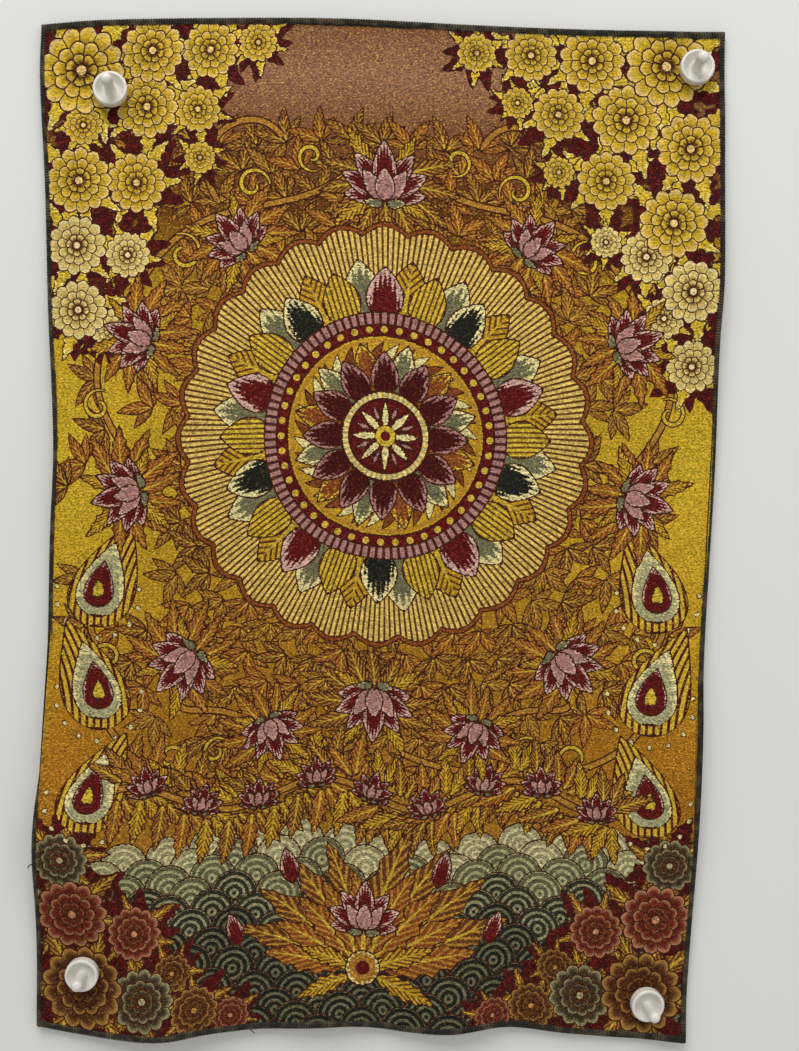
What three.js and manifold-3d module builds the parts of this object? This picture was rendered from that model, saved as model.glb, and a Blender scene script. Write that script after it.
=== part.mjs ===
// A woven brocade hanging with an overlocked edge, pinned flat to a wall by four push pins.
// Sizes are in millimetres. X runs right across the cloth, Y into the wall and Z up, so the cloth faces -Y.
// The origin is the middle of the cloth's top edge, on the face of the wall.
import * as THREE from "three";
import Module from "manifold-3d";
import { mergeVertices } from "three/addons/utils/BufferGeometryUtils.js";

const wasm = await Module();
wasm.setup();

// The cloth as it is cut
const cutWidth = 201;
const cutHeight = 302;
const clothThickness = 1.0;
const wallClearance = 0.4;

// The overlocked edging, which is a little thicker than the cloth
const edgingWidth = { top: 1.9, bottom: 2.1, left: 1.3, right: 1.5 };
const edgingThickness = 1.5;
const seamGap = 0.38;

// The push pins: a drum-shaped collar with a dished front, a slim stem and a rounded knob
const collarRadius = 5.0;
const collarHeight = 3.2;
const dishRadius = 4.1;
const dishDepth = 0.6;
const stemRadius = 1.5;
const knobRadius = 1.75;
const pinHeight = 11.8;
const rimRounding = 0.5;
const needleRadius = 0.55;
const needleLength = 9.5;
const needlePoint = 2.0;
const holeRadius = 0.9;
const drillLength = 6.0;
const pinGap = 0.3;
const collarAllowance = 0.32;

// How finely the cloth and the turned pieces are cut into facets
const cellsAcross = 26;
const cellsDown = 40;
const turnedSides = 20;
const needleSides = 12;

// Where the four corners of the hung cloth are, seen square on
const corner = {
  topLeft: { x: -99.9, z: -0.3 },
  topRight: { x: 100.1, z: -2.4 },
  bottomLeft: { x: -105.2, z: -299.3 },
  bottomRight: { x: 91.3, z: -303.8 },
};

// How far each edge bulges out past the straight line between its corners, at shares of its length
const topEdge = [
  { at: 0, out: 0 },
  { at: 0.08, out: 1.4 },
  { at: 0.2, out: 2.1 },
  { at: 0.36, out: 2.35 },
  { at: 0.46, out: 2.1 },
  { at: 0.62, out: 0.9 },
  { at: 0.8, out: 0.1 },
  { at: 1, out: 0 },
];
const bottomEdge = [
  { at: 0, out: 0 },
  { at: 0.06, out: 1.8 },
  { at: 0.13, out: 2.8 },
  { at: 0.2, out: 2.2 },
  { at: 0.26, out: 0.3 },
  { at: 0.39, out: -1.7 },
  { at: 0.48, out: -2.8 },
  { at: 0.57, out: -1.4 },
  { at: 0.64, out: -1.8 },
  { at: 0.72, out: -3.4 },
  { at: 0.81, out: -1.7 },
  { at: 0.94, out: -0.2 },
  { at: 1, out: 0 },
];
const leftEdge = [
  { at: 0, out: 0 },
  { at: 0.05, out: 0.4 },
  { at: 0.15, out: -1.2 },
  { at: 0.27, out: -2.5 },
  { at: 0.41, out: -4.7 },
  { at: 0.5, out: -3.7 },
  { at: 0.69, out: -2.1 },
  { at: 0.79, out: 0.2 },
  { at: 0.88, out: 0 },
  { at: 1, out: 0 },
];
const rightEdge = [
  { at: 0, out: 0 },
  { at: 0.1, out: 1.2 },
  { at: 0.24, out: 2.3 },
  { at: 0.3, out: 1.7 },
  { at: 0.43, out: 2.1 },
  { at: 0.62, out: 0.9 },
  { at: 0.68, out: 1.3 },
  { at: 0.8, out: 1.3 },
  { at: 0.93, out: 0.2 },
  { at: 1, out: 0 },
];

// The swells of the cloth off the wall. Places and half sizes are shares of the cut width and height.
const slack = 0.9;
const swells = [
  { place: "top middle", across: 0.48, down: 0.02, rise: 1.6, halfAcross: 0.25, halfDown: 0.1 },
  { place: "left belly", across: 0.1, down: 0.42, rise: 4.0, halfAcross: 0.14, halfDown: 0.15 },
  { place: "middle", across: 0.58, down: 0.4, rise: 2.0, halfAcross: 0.3, halfDown: 0.22 },
  { place: "right shoulder", across: 1, down: 0.26, rise: 2.6, halfAcross: 0.12, halfDown: 0.1 },
  { place: "right flank", across: 1, down: 0.72, rise: 3.2, halfAcross: 0.12, halfDown: 0.12 },
  { place: "left hip", across: 0, down: 0.81, rise: 6.0, halfAcross: 0.12, halfDown: 0.07 },
  { place: "left flute", across: 0.2, down: 1, rise: 5.0, halfAcross: 0.09, halfDown: 0.1 },
  { place: "middle flute", across: 0.44, down: 1, rise: 2.8, halfAcross: 0.07, halfDown: 0.08 },
  { place: "right flute", across: 0.64, down: 1, rise: 4.0, halfAcross: 0.07, halfDown: 0.09 },
  { place: "corner lift", across: 1, down: 1, rise: 2.0, halfAcross: 0.05, halfDown: 0.03 },
];

// The pins: where their needles enter the wall, and how far each leans for every millimetre it stands out
const pins = [
  { name: "top_left", x: -79.9, z: -19.8, leanRight: 0.059, leanUp: 0.105 },
  { name: "top_right", x: 91.7, z: -13.4, leanRight: 0.006, leanUp: 0.089 },
  { name: "bottom_left", x: -91.2, z: -282.6, leanRight: 0.036, leanUp: -0.042 },
  { name: "bottom_right", x: 79.3, z: -291.7, leanRight: 0.087, leanUp: -0.059 },
];
const pinReach = 11;
const pinHold = 4;

// The tables give smooth curves: a cubic between rows, with the slope at each row taken from its neighbours.
function readTable(rows, at) {
  const last = rows.length - 1;
  let i = 0;
  while (i < last - 1 && rows[i + 1].at < at) i += 1;
  const slopeAt = (k) => {
    const before = rows[Math.max(k - 1, 0)];
    const after = rows[Math.min(k + 1, last)];
    return (after.out - before.out) / (after.at - before.at);
  };
  const low = rows[i];
  const high = rows[i + 1];
  const span = high.at - low.at;
  const t = (at - low.at) / span;
  const rising = t * t * (3 - 2 * t);
  const leaving = t * (1 - t) * (1 - t);
  const arriving = t * t * (t - 1);
  return low.out + (high.out - low.out) * rising + span * (slopeAt(i) * leaving + slopeAt(i + 1) * arriving);
}

// A point of an edge: on the straight line between two corners, moved out square to it by the table
function edgePoint(from, to, rows, at) {
  const alongX = to.x - from.x;
  const alongZ = to.z - from.z;
  const length = Math.hypot(alongX, alongZ);
  const out = readTable(rows, at);
  return {
    x: from.x + alongX * at - (alongZ / length) * out,
    z: from.z + alongZ * at + (alongX / length) * out,
  };
}

// The cloth's outline filled in: each pair of facing edges is blended, less the blend of the corners.
function outlinePoint(across, down) {
  const top = edgePoint(corner.topLeft, corner.topRight, topEdge, across);
  const bottom = edgePoint(corner.bottomRight, corner.bottomLeft, mirrored(bottomEdge), 1 - across);
  const left = edgePoint(corner.bottomLeft, corner.topLeft, mirrored(leftEdge), 1 - down);
  const right = edgePoint(corner.topRight, corner.bottomRight, rightEdge, down);
  const blend = (axis) => {
    const lengthwise = top[axis] * (1 - down) + bottom[axis] * down;
    const crosswise = left[axis] * (1 - across) + right[axis] * across;
    const upper = corner.topLeft[axis] * (1 - across) + corner.topRight[axis] * across;
    const lower = corner.bottomLeft[axis] * (1 - across) + corner.bottomRight[axis] * across;
    return lengthwise + crosswise - upper * (1 - down) - lower * down;
  };
  return { x: blend("x"), z: blend("z") };
}

function mirrored(rows) {
  return rows.map((row) => ({ at: 1 - row.at, out: row.out })).reverse();
}

// How free the cloth is to stand off the wall: 0 under a pin, 1 well away from all of them
function freedom(x, z) {
  return pins.reduce((free, pin) => {
    const distance = Math.hypot(x - pin.x, z - pin.z);
    return free * (1 - Math.exp(-((distance / pinReach) ** pinHold)));
  }, 1);
}

// The middle of the cloth's thickness, at shares of the way across and down
function clothPoint(across, down) {
  const { x, z } = outlinePoint(across, down);
  const swell = swells.reduce((sum, row) => {
    const aside = (across - row.across) / row.halfAcross;
    const below = (down - row.down) / row.halfDown;
    return sum + row.rise * Math.exp(-aside * aside - below * below);
  }, slack);
  const standOff = wallClearance + clothThickness / 2 + swell * freedom(x, z);
  return new THREE.Vector3(x, -standOff, z);
}

// The cloth's own directions at a point: across it, down it, and out of its face towards the room
function clothFrame(across, down) {
  const step = 1e-3;
  const alongCloth = clothPoint(across + step, down).sub(clothPoint(across - step, down)).normalize();
  const downCloth = clothPoint(across, down + step).sub(clothPoint(across, down - step)).normalize();
  const face = new THREE.Vector3().crossVectors(downCloth, alongCloth).normalize();
  return { alongCloth, downCloth, face: face.y > 0 ? face.negate() : face };
}

function geometryOf(positions, triangles) {
  const geometry = new THREE.BufferGeometry();
  const coordinates = positions.flatMap((point) => point.toArray());
  geometry.setAttribute("position", new THREE.Float32BufferAttribute(coordinates, 3));
  geometry.setIndex(triangles.flat());
  geometry.computeVertexNormals();
  return geometry;
}

// A closed sheet: a front and a back grid half a thickness off the cloth's middle, joined round the rim
function sheetGeometry(bounds) {
  const columns = cellsAcross + 1;
  const layer = columns * (cellsDown + 1);
  const positions = [];
  for (const side of [0.5, -0.5]) {
    for (let j = 0; j <= cellsDown; j += 1) {
      for (let i = 0; i <= cellsAcross; i += 1) {
        const across = THREE.MathUtils.lerp(bounds.left, bounds.right, i / cellsAcross);
        const down = THREE.MathUtils.lerp(bounds.top, bounds.bottom, j / cellsDown);
        const { face } = clothFrame(across, down);
        positions.push(clothPoint(across, down).addScaledVector(face, side * clothThickness));
      }
    }
  }
  const triangles = [];
  const quad = (a, b, c, d) => triangles.push([a, b, c], [a, c, d]);
  const at = (i, j) => j * columns + i;
  for (let j = 0; j < cellsDown; j += 1) {
    for (let i = 0; i < cellsAcross; i += 1) {
      quad(at(i, j), at(i, j + 1), at(i + 1, j + 1), at(i + 1, j));
      quad(layer + at(i, j), layer + at(i + 1, j), layer + at(i + 1, j + 1), layer + at(i, j + 1));
    }
  }
  const rim = (a, b) => quad(a, b, layer + b, layer + a);
  for (let i = 0; i < cellsAcross; i += 1) {
    rim(at(i, 0), at(i + 1, 0));
    rim(at(i + 1, cellsDown), at(i, cellsDown));
  }
  for (let j = 0; j < cellsDown; j += 1) {
    rim(at(0, j + 1), at(0, j));
    rim(at(cellsAcross, j), at(cellsAcross, j + 1));
  }
  return geometryOf(positions, triangles);
}

// A band with a flattened hexagonal section, swept along the cloth from one place on it to another
function bandGeometry(from, to, width, steps, crosswise) {
  const section = [
    { aside: -0.5, out: 0 },
    { aside: -0.3, out: 0.5 },
    { aside: 0.3, out: 0.5 },
    { aside: 0.5, out: 0 },
    { aside: 0.3, out: -0.5 },
    { aside: -0.3, out: -0.5 },
  ];
  const sides = section.length;
  const positions = [];
  for (let k = 0; k <= steps; k += 1) {
    const across = THREE.MathUtils.lerp(from.across, to.across, k / steps);
    const down = THREE.MathUtils.lerp(from.down, to.down, k / steps);
    const { alongCloth, downCloth, face } = clothFrame(across, down);
    const aside = crosswise ? downCloth : alongCloth.negate();
    for (const point of section) {
      const place = clothPoint(across, down);
      place.addScaledVector(aside, point.aside * width);
      positions.push(place.addScaledVector(face, point.out * edgingThickness));
    }
  }
  const triangles = [];
  for (let k = 0; k < steps; k += 1) {
    for (let s = 0; s < sides; s += 1) {
      const a = k * sides + s;
      const b = k * sides + ((s + 1) % sides);
      triangles.push([a, b + sides, a + sides], [a, b, b + sides]);
    }
  }
  const end = steps * sides;
  for (let s = 1; s < sides - 1; s += 1) {
    triangles.push([0, s + 1, s], [end, end + s, end + s + 1]);
  }
  return geometryOf(positions, triangles);
}

// A quarter circle of profile points for a turned piece, about a centre
function roundedCorner(centreRadius, centreHeight, radius, fromDegrees, toDegrees, steps) {
  return Array.from({ length: steps + 1 }, (_, k) => {
    const angle = THREE.MathUtils.degToRad(THREE.MathUtils.lerp(fromDegrees, toDegrees, k / steps));
    const aside = radius * Math.cos(angle);
    const up = radius * Math.sin(angle);
    return new THREE.Vector2(centreRadius + aside, centreHeight + up);
  });
}

function pinBodyGeometry() {
  const rim = collarRadius - rimRounding;
  const knobHeight = pinHeight - knobRadius;
  const profile = [
    new THREE.Vector2(0, 0),
    ...roundedCorner(rim, rimRounding, rimRounding, -90, 0, 2),
    ...roundedCorner(rim, collarHeight - rimRounding, rimRounding, 0, 90, 2),
    new THREE.Vector2(dishRadius, collarHeight),
    new THREE.Vector2(dishRadius - dishDepth, collarHeight - dishDepth),
    new THREE.Vector2(stemRadius + dishDepth, collarHeight - dishDepth),
    new THREE.Vector2(stemRadius, collarHeight),
    ...roundedCorner(0, knobHeight, knobRadius, 0, 60, 2),
    new THREE.Vector2(0, pinHeight),
  ];
  return new THREE.LatheGeometry(profile, turnedSides);
}

// The needle lies along its own height from 0, where it leaves the body, down to its point.
function needleGeometry() {
  const profile = [
    new THREE.Vector2(0, -needleLength),
    new THREE.Vector2(needleRadius, -needleLength + needlePoint),
    new THREE.Vector2(needleRadius, 0),
    new THREE.Vector2(0, 0),
  ];
  return new THREE.LatheGeometry(profile, needleSides);
}

function pinDirection(pin) {
  return new THREE.Vector3(pin.leanRight, -1, pin.leanUp).normalize();
}

// Turns a piece made along its own height to lie along the pin, and moves it out from the wall
function alongPin(geometry, pin, distance) {
  const direction = pinDirection(pin);
  const turn = new THREE.Quaternion().setFromUnitVectors(new THREE.Vector3(0, 1, 0), direction);
  const place = new THREE.Vector3(pin.x, 0, pin.z).addScaledVector(direction, distance);
  return geometry.applyQuaternion(turn).translate(place.x, place.y, place.z);
}

// How far along a pin its collar starts: clear of the cloth's face even where the lean brings its rim down
function collarStart(pin) {
  const clothFront = wallClearance + clothThickness + collarAllowance;
  return clothFront + pinGap + collarRadius * Math.hypot(pin.leanRight, pin.leanUp);
}

function solidOf(geometry) {
  const bare = geometry.index ? geometry.clone() : mergeVertices(geometry);
  bare.deleteAttribute("normal");
  bare.deleteAttribute("uv");
  const merged = mergeVertices(bare, 1e-4);
  const corners = Array.from(merged.index.array);
  const whole = [];
  for (let i = 0; i < corners.length; i += 3) {
    const [a, b, c] = corners.slice(i, i + 3);
    if (a !== b && b !== c && a !== c) whole.push(a, b, c);
  }
  return new wasm.Manifold(
    new wasm.Mesh({
      numProp: 3,
      vertProperties: new Float32Array(merged.attributes.position.array),
      triVerts: new Uint32Array(whole),
    }),
  );
}

function geometryFrom(solid) {
  const mesh = solid.getMesh();
  const geometry = new THREE.BufferGeometry();
  geometry.setAttribute("position", new THREE.BufferAttribute(new Float32Array(mesh.vertProperties), 3));
  geometry.setIndex(new THREE.BufferAttribute(new Uint32Array(mesh.triVerts), 1));
  geometry.computeVertexNormals();
  return geometry;
}

// The panel stops a seam gap short of the edging, and each needle passes through a hole in it.
function panelGeometry() {
  const sheet = sheetGeometry({
    left: (edgingWidth.left + seamGap) / cutWidth,
    right: 1 - (edgingWidth.right + seamGap) / cutWidth,
    top: (edgingWidth.top + seamGap) / cutHeight,
    bottom: 1 - (edgingWidth.bottom + seamGap) / cutHeight,
  });
  const drill = new THREE.CylinderGeometry(holeRadius, holeRadius, drillLength, needleSides);
  const pierced = pins.reduce(
    (cloth, pin) => cloth.subtract(solidOf(alongPin(drill.clone(), pin, wallClearance + clothThickness / 2))),
    solidOf(sheet),
  );
  return geometryFrom(pierced);
}

// The top and bottom bands run the whole width, and the side bands run between them.
function edgingGeometries() {
  const upper = (edgingWidth.top + seamGap) / cutHeight;
  const lower = 1 - (edgingWidth.bottom + seamGap) / cutHeight;
  const middle = {
    top: edgingWidth.top / 2 / cutHeight,
    bottom: 1 - edgingWidth.bottom / 2 / cutHeight,
    left: edgingWidth.left / 2 / cutWidth,
    right: 1 - edgingWidth.right / 2 / cutWidth,
  };
  const crosswise = (down, width) =>
    bandGeometry({ across: 0, down }, { across: 1, down }, width, cellsAcross, true);
  const lengthwise = (across, width) =>
    bandGeometry({ across, down: upper }, { across, down: lower }, width, cellsDown, false);
  return {
    edging_top: crosswise(middle.top, edgingWidth.top),
    edging_bottom: crosswise(middle.bottom, edgingWidth.bottom),
    edging_left: lengthwise(middle.left, edgingWidth.left),
    edging_right: lengthwise(middle.right, edgingWidth.right),
  };
}

const materials = {
  brocade: new THREE.MeshStandardMaterial({ color: 0xb08a24, roughness: 0.6, metalness: 0.1 }),
  thread: new THREE.MeshStandardMaterial({ color: 0x2e2b20, roughness: 0.9 }),
  plastic: new THREE.MeshStandardMaterial({ color: 0xeeece6, roughness: 0.35 }),
  steel: new THREE.MeshStandardMaterial({ color: 0xa8aaad, roughness: 0.3, metalness: 1.0 }),
};

const hanging = new THREE.Group();

function add(name, geometry, material) {
  const mesh = new THREE.Mesh(geometry, material);
  mesh.name = name;
  hanging.add(mesh);
}

add("cloth_panel", panelGeometry(), materials.brocade);
for (const [name, geometry] of Object.entries(edgingGeometries())) {
  add(name, geometry, materials.thread);
}
for (const pin of pins) {
  const start = collarStart(pin);
  add(`pin_${pin.name}`, alongPin(pinBodyGeometry(), pin, start), materials.plastic);
  add(`needle_${pin.name}`, alongPin(needleGeometry(), pin, start - pinGap), materials.steel);
}

export default hanging;
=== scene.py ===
"""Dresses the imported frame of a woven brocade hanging: its patterned cloth, overlocked edge and push pins.

Flat places on the cloth are in millimetres, across from its left edge and down from its top edge. Places in
space are in metres, with X right across the cloth, Y into the wall and Z up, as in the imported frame.
"""

import math

import bpy
import numpy as np
from bpy.props import FloatProperty, FloatVectorProperty, IntProperty, PointerProperty
from mathutils.geometry import delaunay_2d_cdt
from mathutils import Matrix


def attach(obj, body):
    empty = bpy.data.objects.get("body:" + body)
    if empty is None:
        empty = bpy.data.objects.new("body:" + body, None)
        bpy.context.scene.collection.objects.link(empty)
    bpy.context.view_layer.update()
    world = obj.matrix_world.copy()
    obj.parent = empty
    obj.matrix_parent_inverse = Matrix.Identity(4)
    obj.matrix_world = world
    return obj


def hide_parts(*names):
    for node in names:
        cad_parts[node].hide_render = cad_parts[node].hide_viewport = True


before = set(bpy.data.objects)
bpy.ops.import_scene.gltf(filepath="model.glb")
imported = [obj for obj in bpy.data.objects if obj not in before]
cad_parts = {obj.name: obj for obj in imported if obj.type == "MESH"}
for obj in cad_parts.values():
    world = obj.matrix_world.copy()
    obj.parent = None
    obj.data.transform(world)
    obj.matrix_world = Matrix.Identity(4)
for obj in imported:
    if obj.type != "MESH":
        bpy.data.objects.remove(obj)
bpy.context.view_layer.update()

bl_info = {
    "name": "Pinned brocade hanging",
    "version": (1, 0, 0),
    "blender": (4, 5, 0),
    "location": "3D View > Sidebar > Hanging",
    "description": "Weaves a brocade panel, overlocks its edge and pins it to a wall",
    "category": "Object",
}

MM = 0.001

# The cut of the cloth and where its hung corners are, in millimetres
CUT_WIDTH = 201.0
CUT_HEIGHT = 302.0
CORNERS = {
    "top_left": (-99.9, -0.3),
    "top_right": (100.1, -2.4),
    "bottom_left": (-105.2, -299.3),
    "bottom_right": (91.3, -303.8),
}

# How far each edge bulges past the straight line between its corners: (share of length, millimetres out)
EDGE_BULGES = {
    "top": (
        (0, 0), (0.08, 1.4), (0.2, 2.1), (0.36, 2.35), (0.46, 2.1), (0.62, 0.9), (0.8, 0.1), (1, 0),
    ),
    "bottom": (
        (0, 0), (0.06, 1.8), (0.13, 2.8), (0.2, 2.2), (0.26, 0.3), (0.39, -1.7), (0.48, -2.8),
        (0.57, -1.4), (0.64, -1.8), (0.72, -3.4), (0.81, -1.7), (0.94, -0.2), (1, 0),
    ),
    "left": (
        (0, 0), (0.05, 0.4), (0.15, -1.2), (0.27, -2.5), (0.41, -4.7), (0.5, -3.7),
        (0.69, -2.1), (0.79, 0.2), (0.88, 0), (1, 0),
    ),
    "right": (
        (0, 0), (0.1, 1.2), (0.24, 2.3), (0.3, 1.7), (0.43, 2.1), (0.62, 0.9),
        (0.68, 1.3), (0.8, 1.3), (0.93, 0.2), (1, 0),
    ),
}

# The cloth's gap from the wall at a pin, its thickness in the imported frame, and its usual rise elsewhere
WALL_CLEARANCE = 0.4
CAD_THICKNESS = 1.0
SLACK = 0.9

# Swells off the wall: (share across, share down, rise in millimetres, half size across, half size down)
SWELLS = (
    (0.48, 0.02, 1.6, 0.25, 0.1),
    (0.1, 0.42, 4.0, 0.14, 0.15),
    (0.58, 0.4, 2.0, 0.3, 0.22),
    (1, 0.26, 2.6, 0.12, 0.1),
    (1, 0.72, 3.2, 0.12, 0.12),
    (0, 0.81, 6.0, 0.12, 0.07),
    (0.2, 1, 5.0, 0.09, 0.1),
    (0.44, 1, 2.8, 0.07, 0.08),
    (0.64, 1, 4.0, 0.07, 0.09),
    (1, 1, 2.0, 0.05, 0.03),
)

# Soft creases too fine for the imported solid, in the same columns
CREASES = (
    (0.9, 0.535, 0.55, 0.13, 0.011),
    (0.78, 0.545, 0.3, 0.1, 0.008),
    (0.3, 0.955, 0.5, 0.025, 0.05),
    (0.53, 0.95, -0.5, 0.02, 0.05),
    (0.82, 0.96, 0.45, 0.025, 0.04),
    (0.08, 0.885, 0.4, 0.02, 0.07),
    (0.05, 0.2, 0.35, 0.018, 0.12),
)

# Where each needle enters the wall, and its lean right and up for every millimetre that it stands out
PINS = {
    "top_left": (-79.9, -19.8, 0.059, 0.105),
    "top_right": (91.7, -13.4, 0.006, 0.089),
    "bottom_left": (-91.2, -282.6, 0.036, -0.042),
    "bottom_right": (79.3, -291.7, 0.087, -0.059),
}

# How far a pin holds the cloth in and how sharply, the gaps at its collar, and the hole for its needle
PIN_REACH = 11.0
PIN_HOLD = 4
PIN_GAP = 0.3
COLLAR_ALLOWANCE = 0.32
HOLE_RADIUS = 0.8
HOLE_MARGIN = 0.1

# How far each edging's thread reaches in on the cloth, and the dark strip that shows between its stitches
EDGING_WIDTHS = {"top": 1.6, "bottom": 1.65, "left": 0.95, "right": 1.15}
SHADE_INSET = 0.72
LEAST_SHADE = 0.15

# Snipped thread ends that stick out of the edging, as (across, down, height above the cloth's middle)
LOOSE_ENDS = {
    "left": (
        (0.9, 249.4, 0.75), (0.1, 249.8, 0.8), (-0.7, 250.3, 0.6), (-1.2, 250.9, 0.35), (-1.5, 251.6, 0.2),
    ),
    "bottom": (
        (65.0, 300.6, 0.75), (65.8, 301.5, 0.8), (66.6, 302.4, 0.6), (67.2, 303.1, 0.3), (67.6, 303.5, 0.2),
    ),
}


def read_table(rows, at):
    """A cubic between the rows of a table, with the slope at each row taken from its two neighbours."""
    places, values = np.array(rows, float).T
    last = len(places) - 1
    i = np.clip(np.searchsorted(places, at) - 1, 0, last - 1)
    after = np.minimum(np.arange(last + 1) + 1, last)
    before = np.maximum(np.arange(last + 1) - 1, 0)
    slopes = (values[after] - values[before]) / (places[after] - places[before])
    span = places[i + 1] - places[i]
    t = (at - places[i]) / span
    rising = t * t * (3 - 2 * t)
    leaving = t * (1 - t) ** 2
    arriving = t * t * (t - 1)
    bend = span * (slopes[i] * leaving + slopes[i + 1] * arriving)
    return values[i] + (values[i + 1] - values[i]) * rising + bend


def edge_point(start, end, rows, at, side):
    """A point of an edge: on the straight line between its corners, moved out square to it by the table."""
    start, end = np.array(CORNERS[start]), np.array(CORNERS[end])
    along = end - start
    outward = side * np.array([-along[1], along[0]]) / np.hypot(*along)
    return start + along * at[..., None] + outward * read_table(rows, at)[..., None]


def outline_point(across, down):
    """The outline filled in: both pairs of facing edges blended, less the blend of the four corners."""
    top = edge_point("top_left", "top_right", EDGE_BULGES["top"], across, 1)
    bottom = edge_point("bottom_left", "bottom_right", EDGE_BULGES["bottom"], across, -1)
    left = edge_point("top_left", "bottom_left", EDGE_BULGES["left"], down, -1)
    right = edge_point("top_right", "bottom_right", EDGE_BULGES["right"], down, 1)
    a, d = across[..., None], down[..., None]
    upper = np.array(CORNERS["top_left"]) * (1 - a) + np.array(CORNERS["top_right"]) * a
    lower = np.array(CORNERS["bottom_left"]) * (1 - a) + np.array(CORNERS["bottom_right"]) * a
    return top * (1 - d) + bottom * d + left * (1 - a) + right * a - upper * (1 - d) - lower * d


def swell_height(across, down):
    """The sum of rounded bumps, each its rise times exp of minus its squared distance in half sizes."""
    total = np.full(np.shape(across), SLACK)
    for place_across, place_down, rise, half_across, half_down in SWELLS + CREASES:
        aside = (across - place_across) / half_across
        below = (down - place_down) / half_down
        total = total + rise * np.exp(-aside * aside - below * below)
    return total


def pin_freedom(place):
    """0 under a pin and 1 well away from them all: the product of 1 - exp(-(distance / reach)^hold)."""
    free = np.ones(place.shape[:-1])
    for x, z, _, _ in PINS.values():
        distance = np.hypot(place[..., 0] - x, place[..., 1] - z)
        free = free * (1 - np.exp(-((distance / PIN_REACH) ** PIN_HOLD)))
    return free


def cloth_middle(x, y):
    """The middle of the cloth's thickness at flat millimetres x across and y down, in metres in space."""
    across, down = np.asarray(x, float) / CUT_WIDTH, np.asarray(y, float) / CUT_HEIGHT
    place = outline_point(across, down)
    stand_off = WALL_CLEARANCE + CAD_THICKNESS / 2 + swell_height(across, down) * pin_freedom(place)
    return np.stack([place[..., 0], -stand_off, place[..., 1]], -1) * MM


def unit(vectors):
    return vectors / np.maximum(np.linalg.norm(vectors, axis=-1, keepdims=True), 1e-12)


def cloth_frame(x, y, step=0.2):
    """Directions at flat places: across the cloth, down it and out of its face, by central differences."""
    across = unit(cloth_middle(x + step, y) - cloth_middle(x - step, y))
    down = unit(cloth_middle(x, y + step) - cloth_middle(x, y - step))
    return across, down, unit(np.cross(down, across))


# Making meshes


def mesh_object(name, points, faces, material, smooth=True):
    """A finished piece at the origin: its vertices, its triangles or quads, and one material."""
    mesh = bpy.data.meshes.new(name)
    mesh.from_pydata(points.tolist(), [], [face for group in faces for face in group.tolist()])
    mesh.materials.append(material)
    mesh.polygons.foreach_set("use_smooth", np.full(len(mesh.polygons), smooth))
    mesh.update()
    piece = bpy.data.objects.new(name, mesh)
    bpy.context.scene.collection.objects.link(piece)
    return piece


def capped_faces(rings, sides):
    """Quads between successive closed rings, and a fan at each end to a pole numbered after the rings."""
    ring, side = np.meshgrid(np.arange(rings - 1), np.arange(sides), indexing="ij")
    a = ring * sides + side
    b = ring * sides + (side + 1) % sides
    walls = np.stack([a, b, b + sides, a + sides], -1).reshape(-1, 4)
    side = np.arange(sides)
    following = (side + 1) % sides
    end = (rings - 1) * sides
    head = np.stack([following, side, np.full(sides, rings * sides)], -1)
    tail = np.stack([end + side, end + following, np.full(sides, rings * sides + 1)], -1)
    return [walls, np.concatenate([head, tail])]


def tube(path, radius, sides, up):
    """A round section carried along a path, each ring square to it and turned to stay level with up."""
    along = unit(np.gradient(path, axis=0))
    across = unit(np.cross(along, up))
    lifted = np.cross(along, across)
    angle = np.linspace(0, 2 * math.pi, sides, endpoint=False)[:, None]
    circle = across[:, None] * np.cos(angle) + lifted[:, None] * np.sin(angle)
    rings = (path[:, None] + circle * radius).reshape(-1, 3)
    return np.concatenate([rings, path[:1], path[-1:]]), capped_faces(len(path), sides)


def turned(profile, sides, axis, origin):
    """A profile of (radius, height) points turned about an axis, its two ends on the axis as poles."""
    angle = np.linspace(0, 2 * math.pi, sides, endpoint=False)[:, None]
    first = unit(np.cross(axis, [0.0, 0.0, 1.0]))
    circle = first * np.cos(angle) + np.cross(axis, first) * np.sin(angle)
    radius, height = profile[1:-1, 0], profile[1:-1, 1]
    rings = origin + radius[:, None, None] * circle + height[:, None, None] * axis
    poles = origin + profile[[0, -1], 1][:, None] * axis
    return np.concatenate([rings.reshape(-1, 3), poles]), capped_faces(len(radius), sides)


def arc(centre_radius, centre_height, radius, start, end, steps):
    """Profile points on a circle, from one angle to another in degrees."""
    angle = np.radians(np.linspace(start, end, steps))
    return np.stack([centre_radius + radius * np.cos(angle), centre_height + radius * np.sin(angle)], -1)


# Colours are written as they look on a screen, 0 to 255, and turned into light values


def light(red, green, blue):
    """The screen colour as linear light: the usual curve with a straight toe."""
    value = np.array([red, green, blue], float) / 255
    return np.where(value <= 0.04045, value / 12.92, ((value + 0.055) / 1.055) ** 2.4)


LINE = light(58, 22, 12)
MAROON = light(84, 11, 13)
DEEP_MAROON = light(62, 8, 9)
PINK = light(186, 148, 134)
MAUVE = light(156, 112, 104)
CREAM = light(204, 190, 132)
SAGE = light(154, 148, 108)
GREY_GREEN = light(104, 100, 72)
NIGHT_GREEN = light(26, 26, 20)
CLOUD_GOLD = light(190, 160, 48)
GOLD = light(180, 138, 32)
OCHRE = light(160, 112, 40)
RUST = light(124, 62, 24)
BROWN = light(92, 50, 22)
DARK_BROWN = light(62, 32, 14)
EDGE_OLIVE = light(44, 40, 28)

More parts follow.
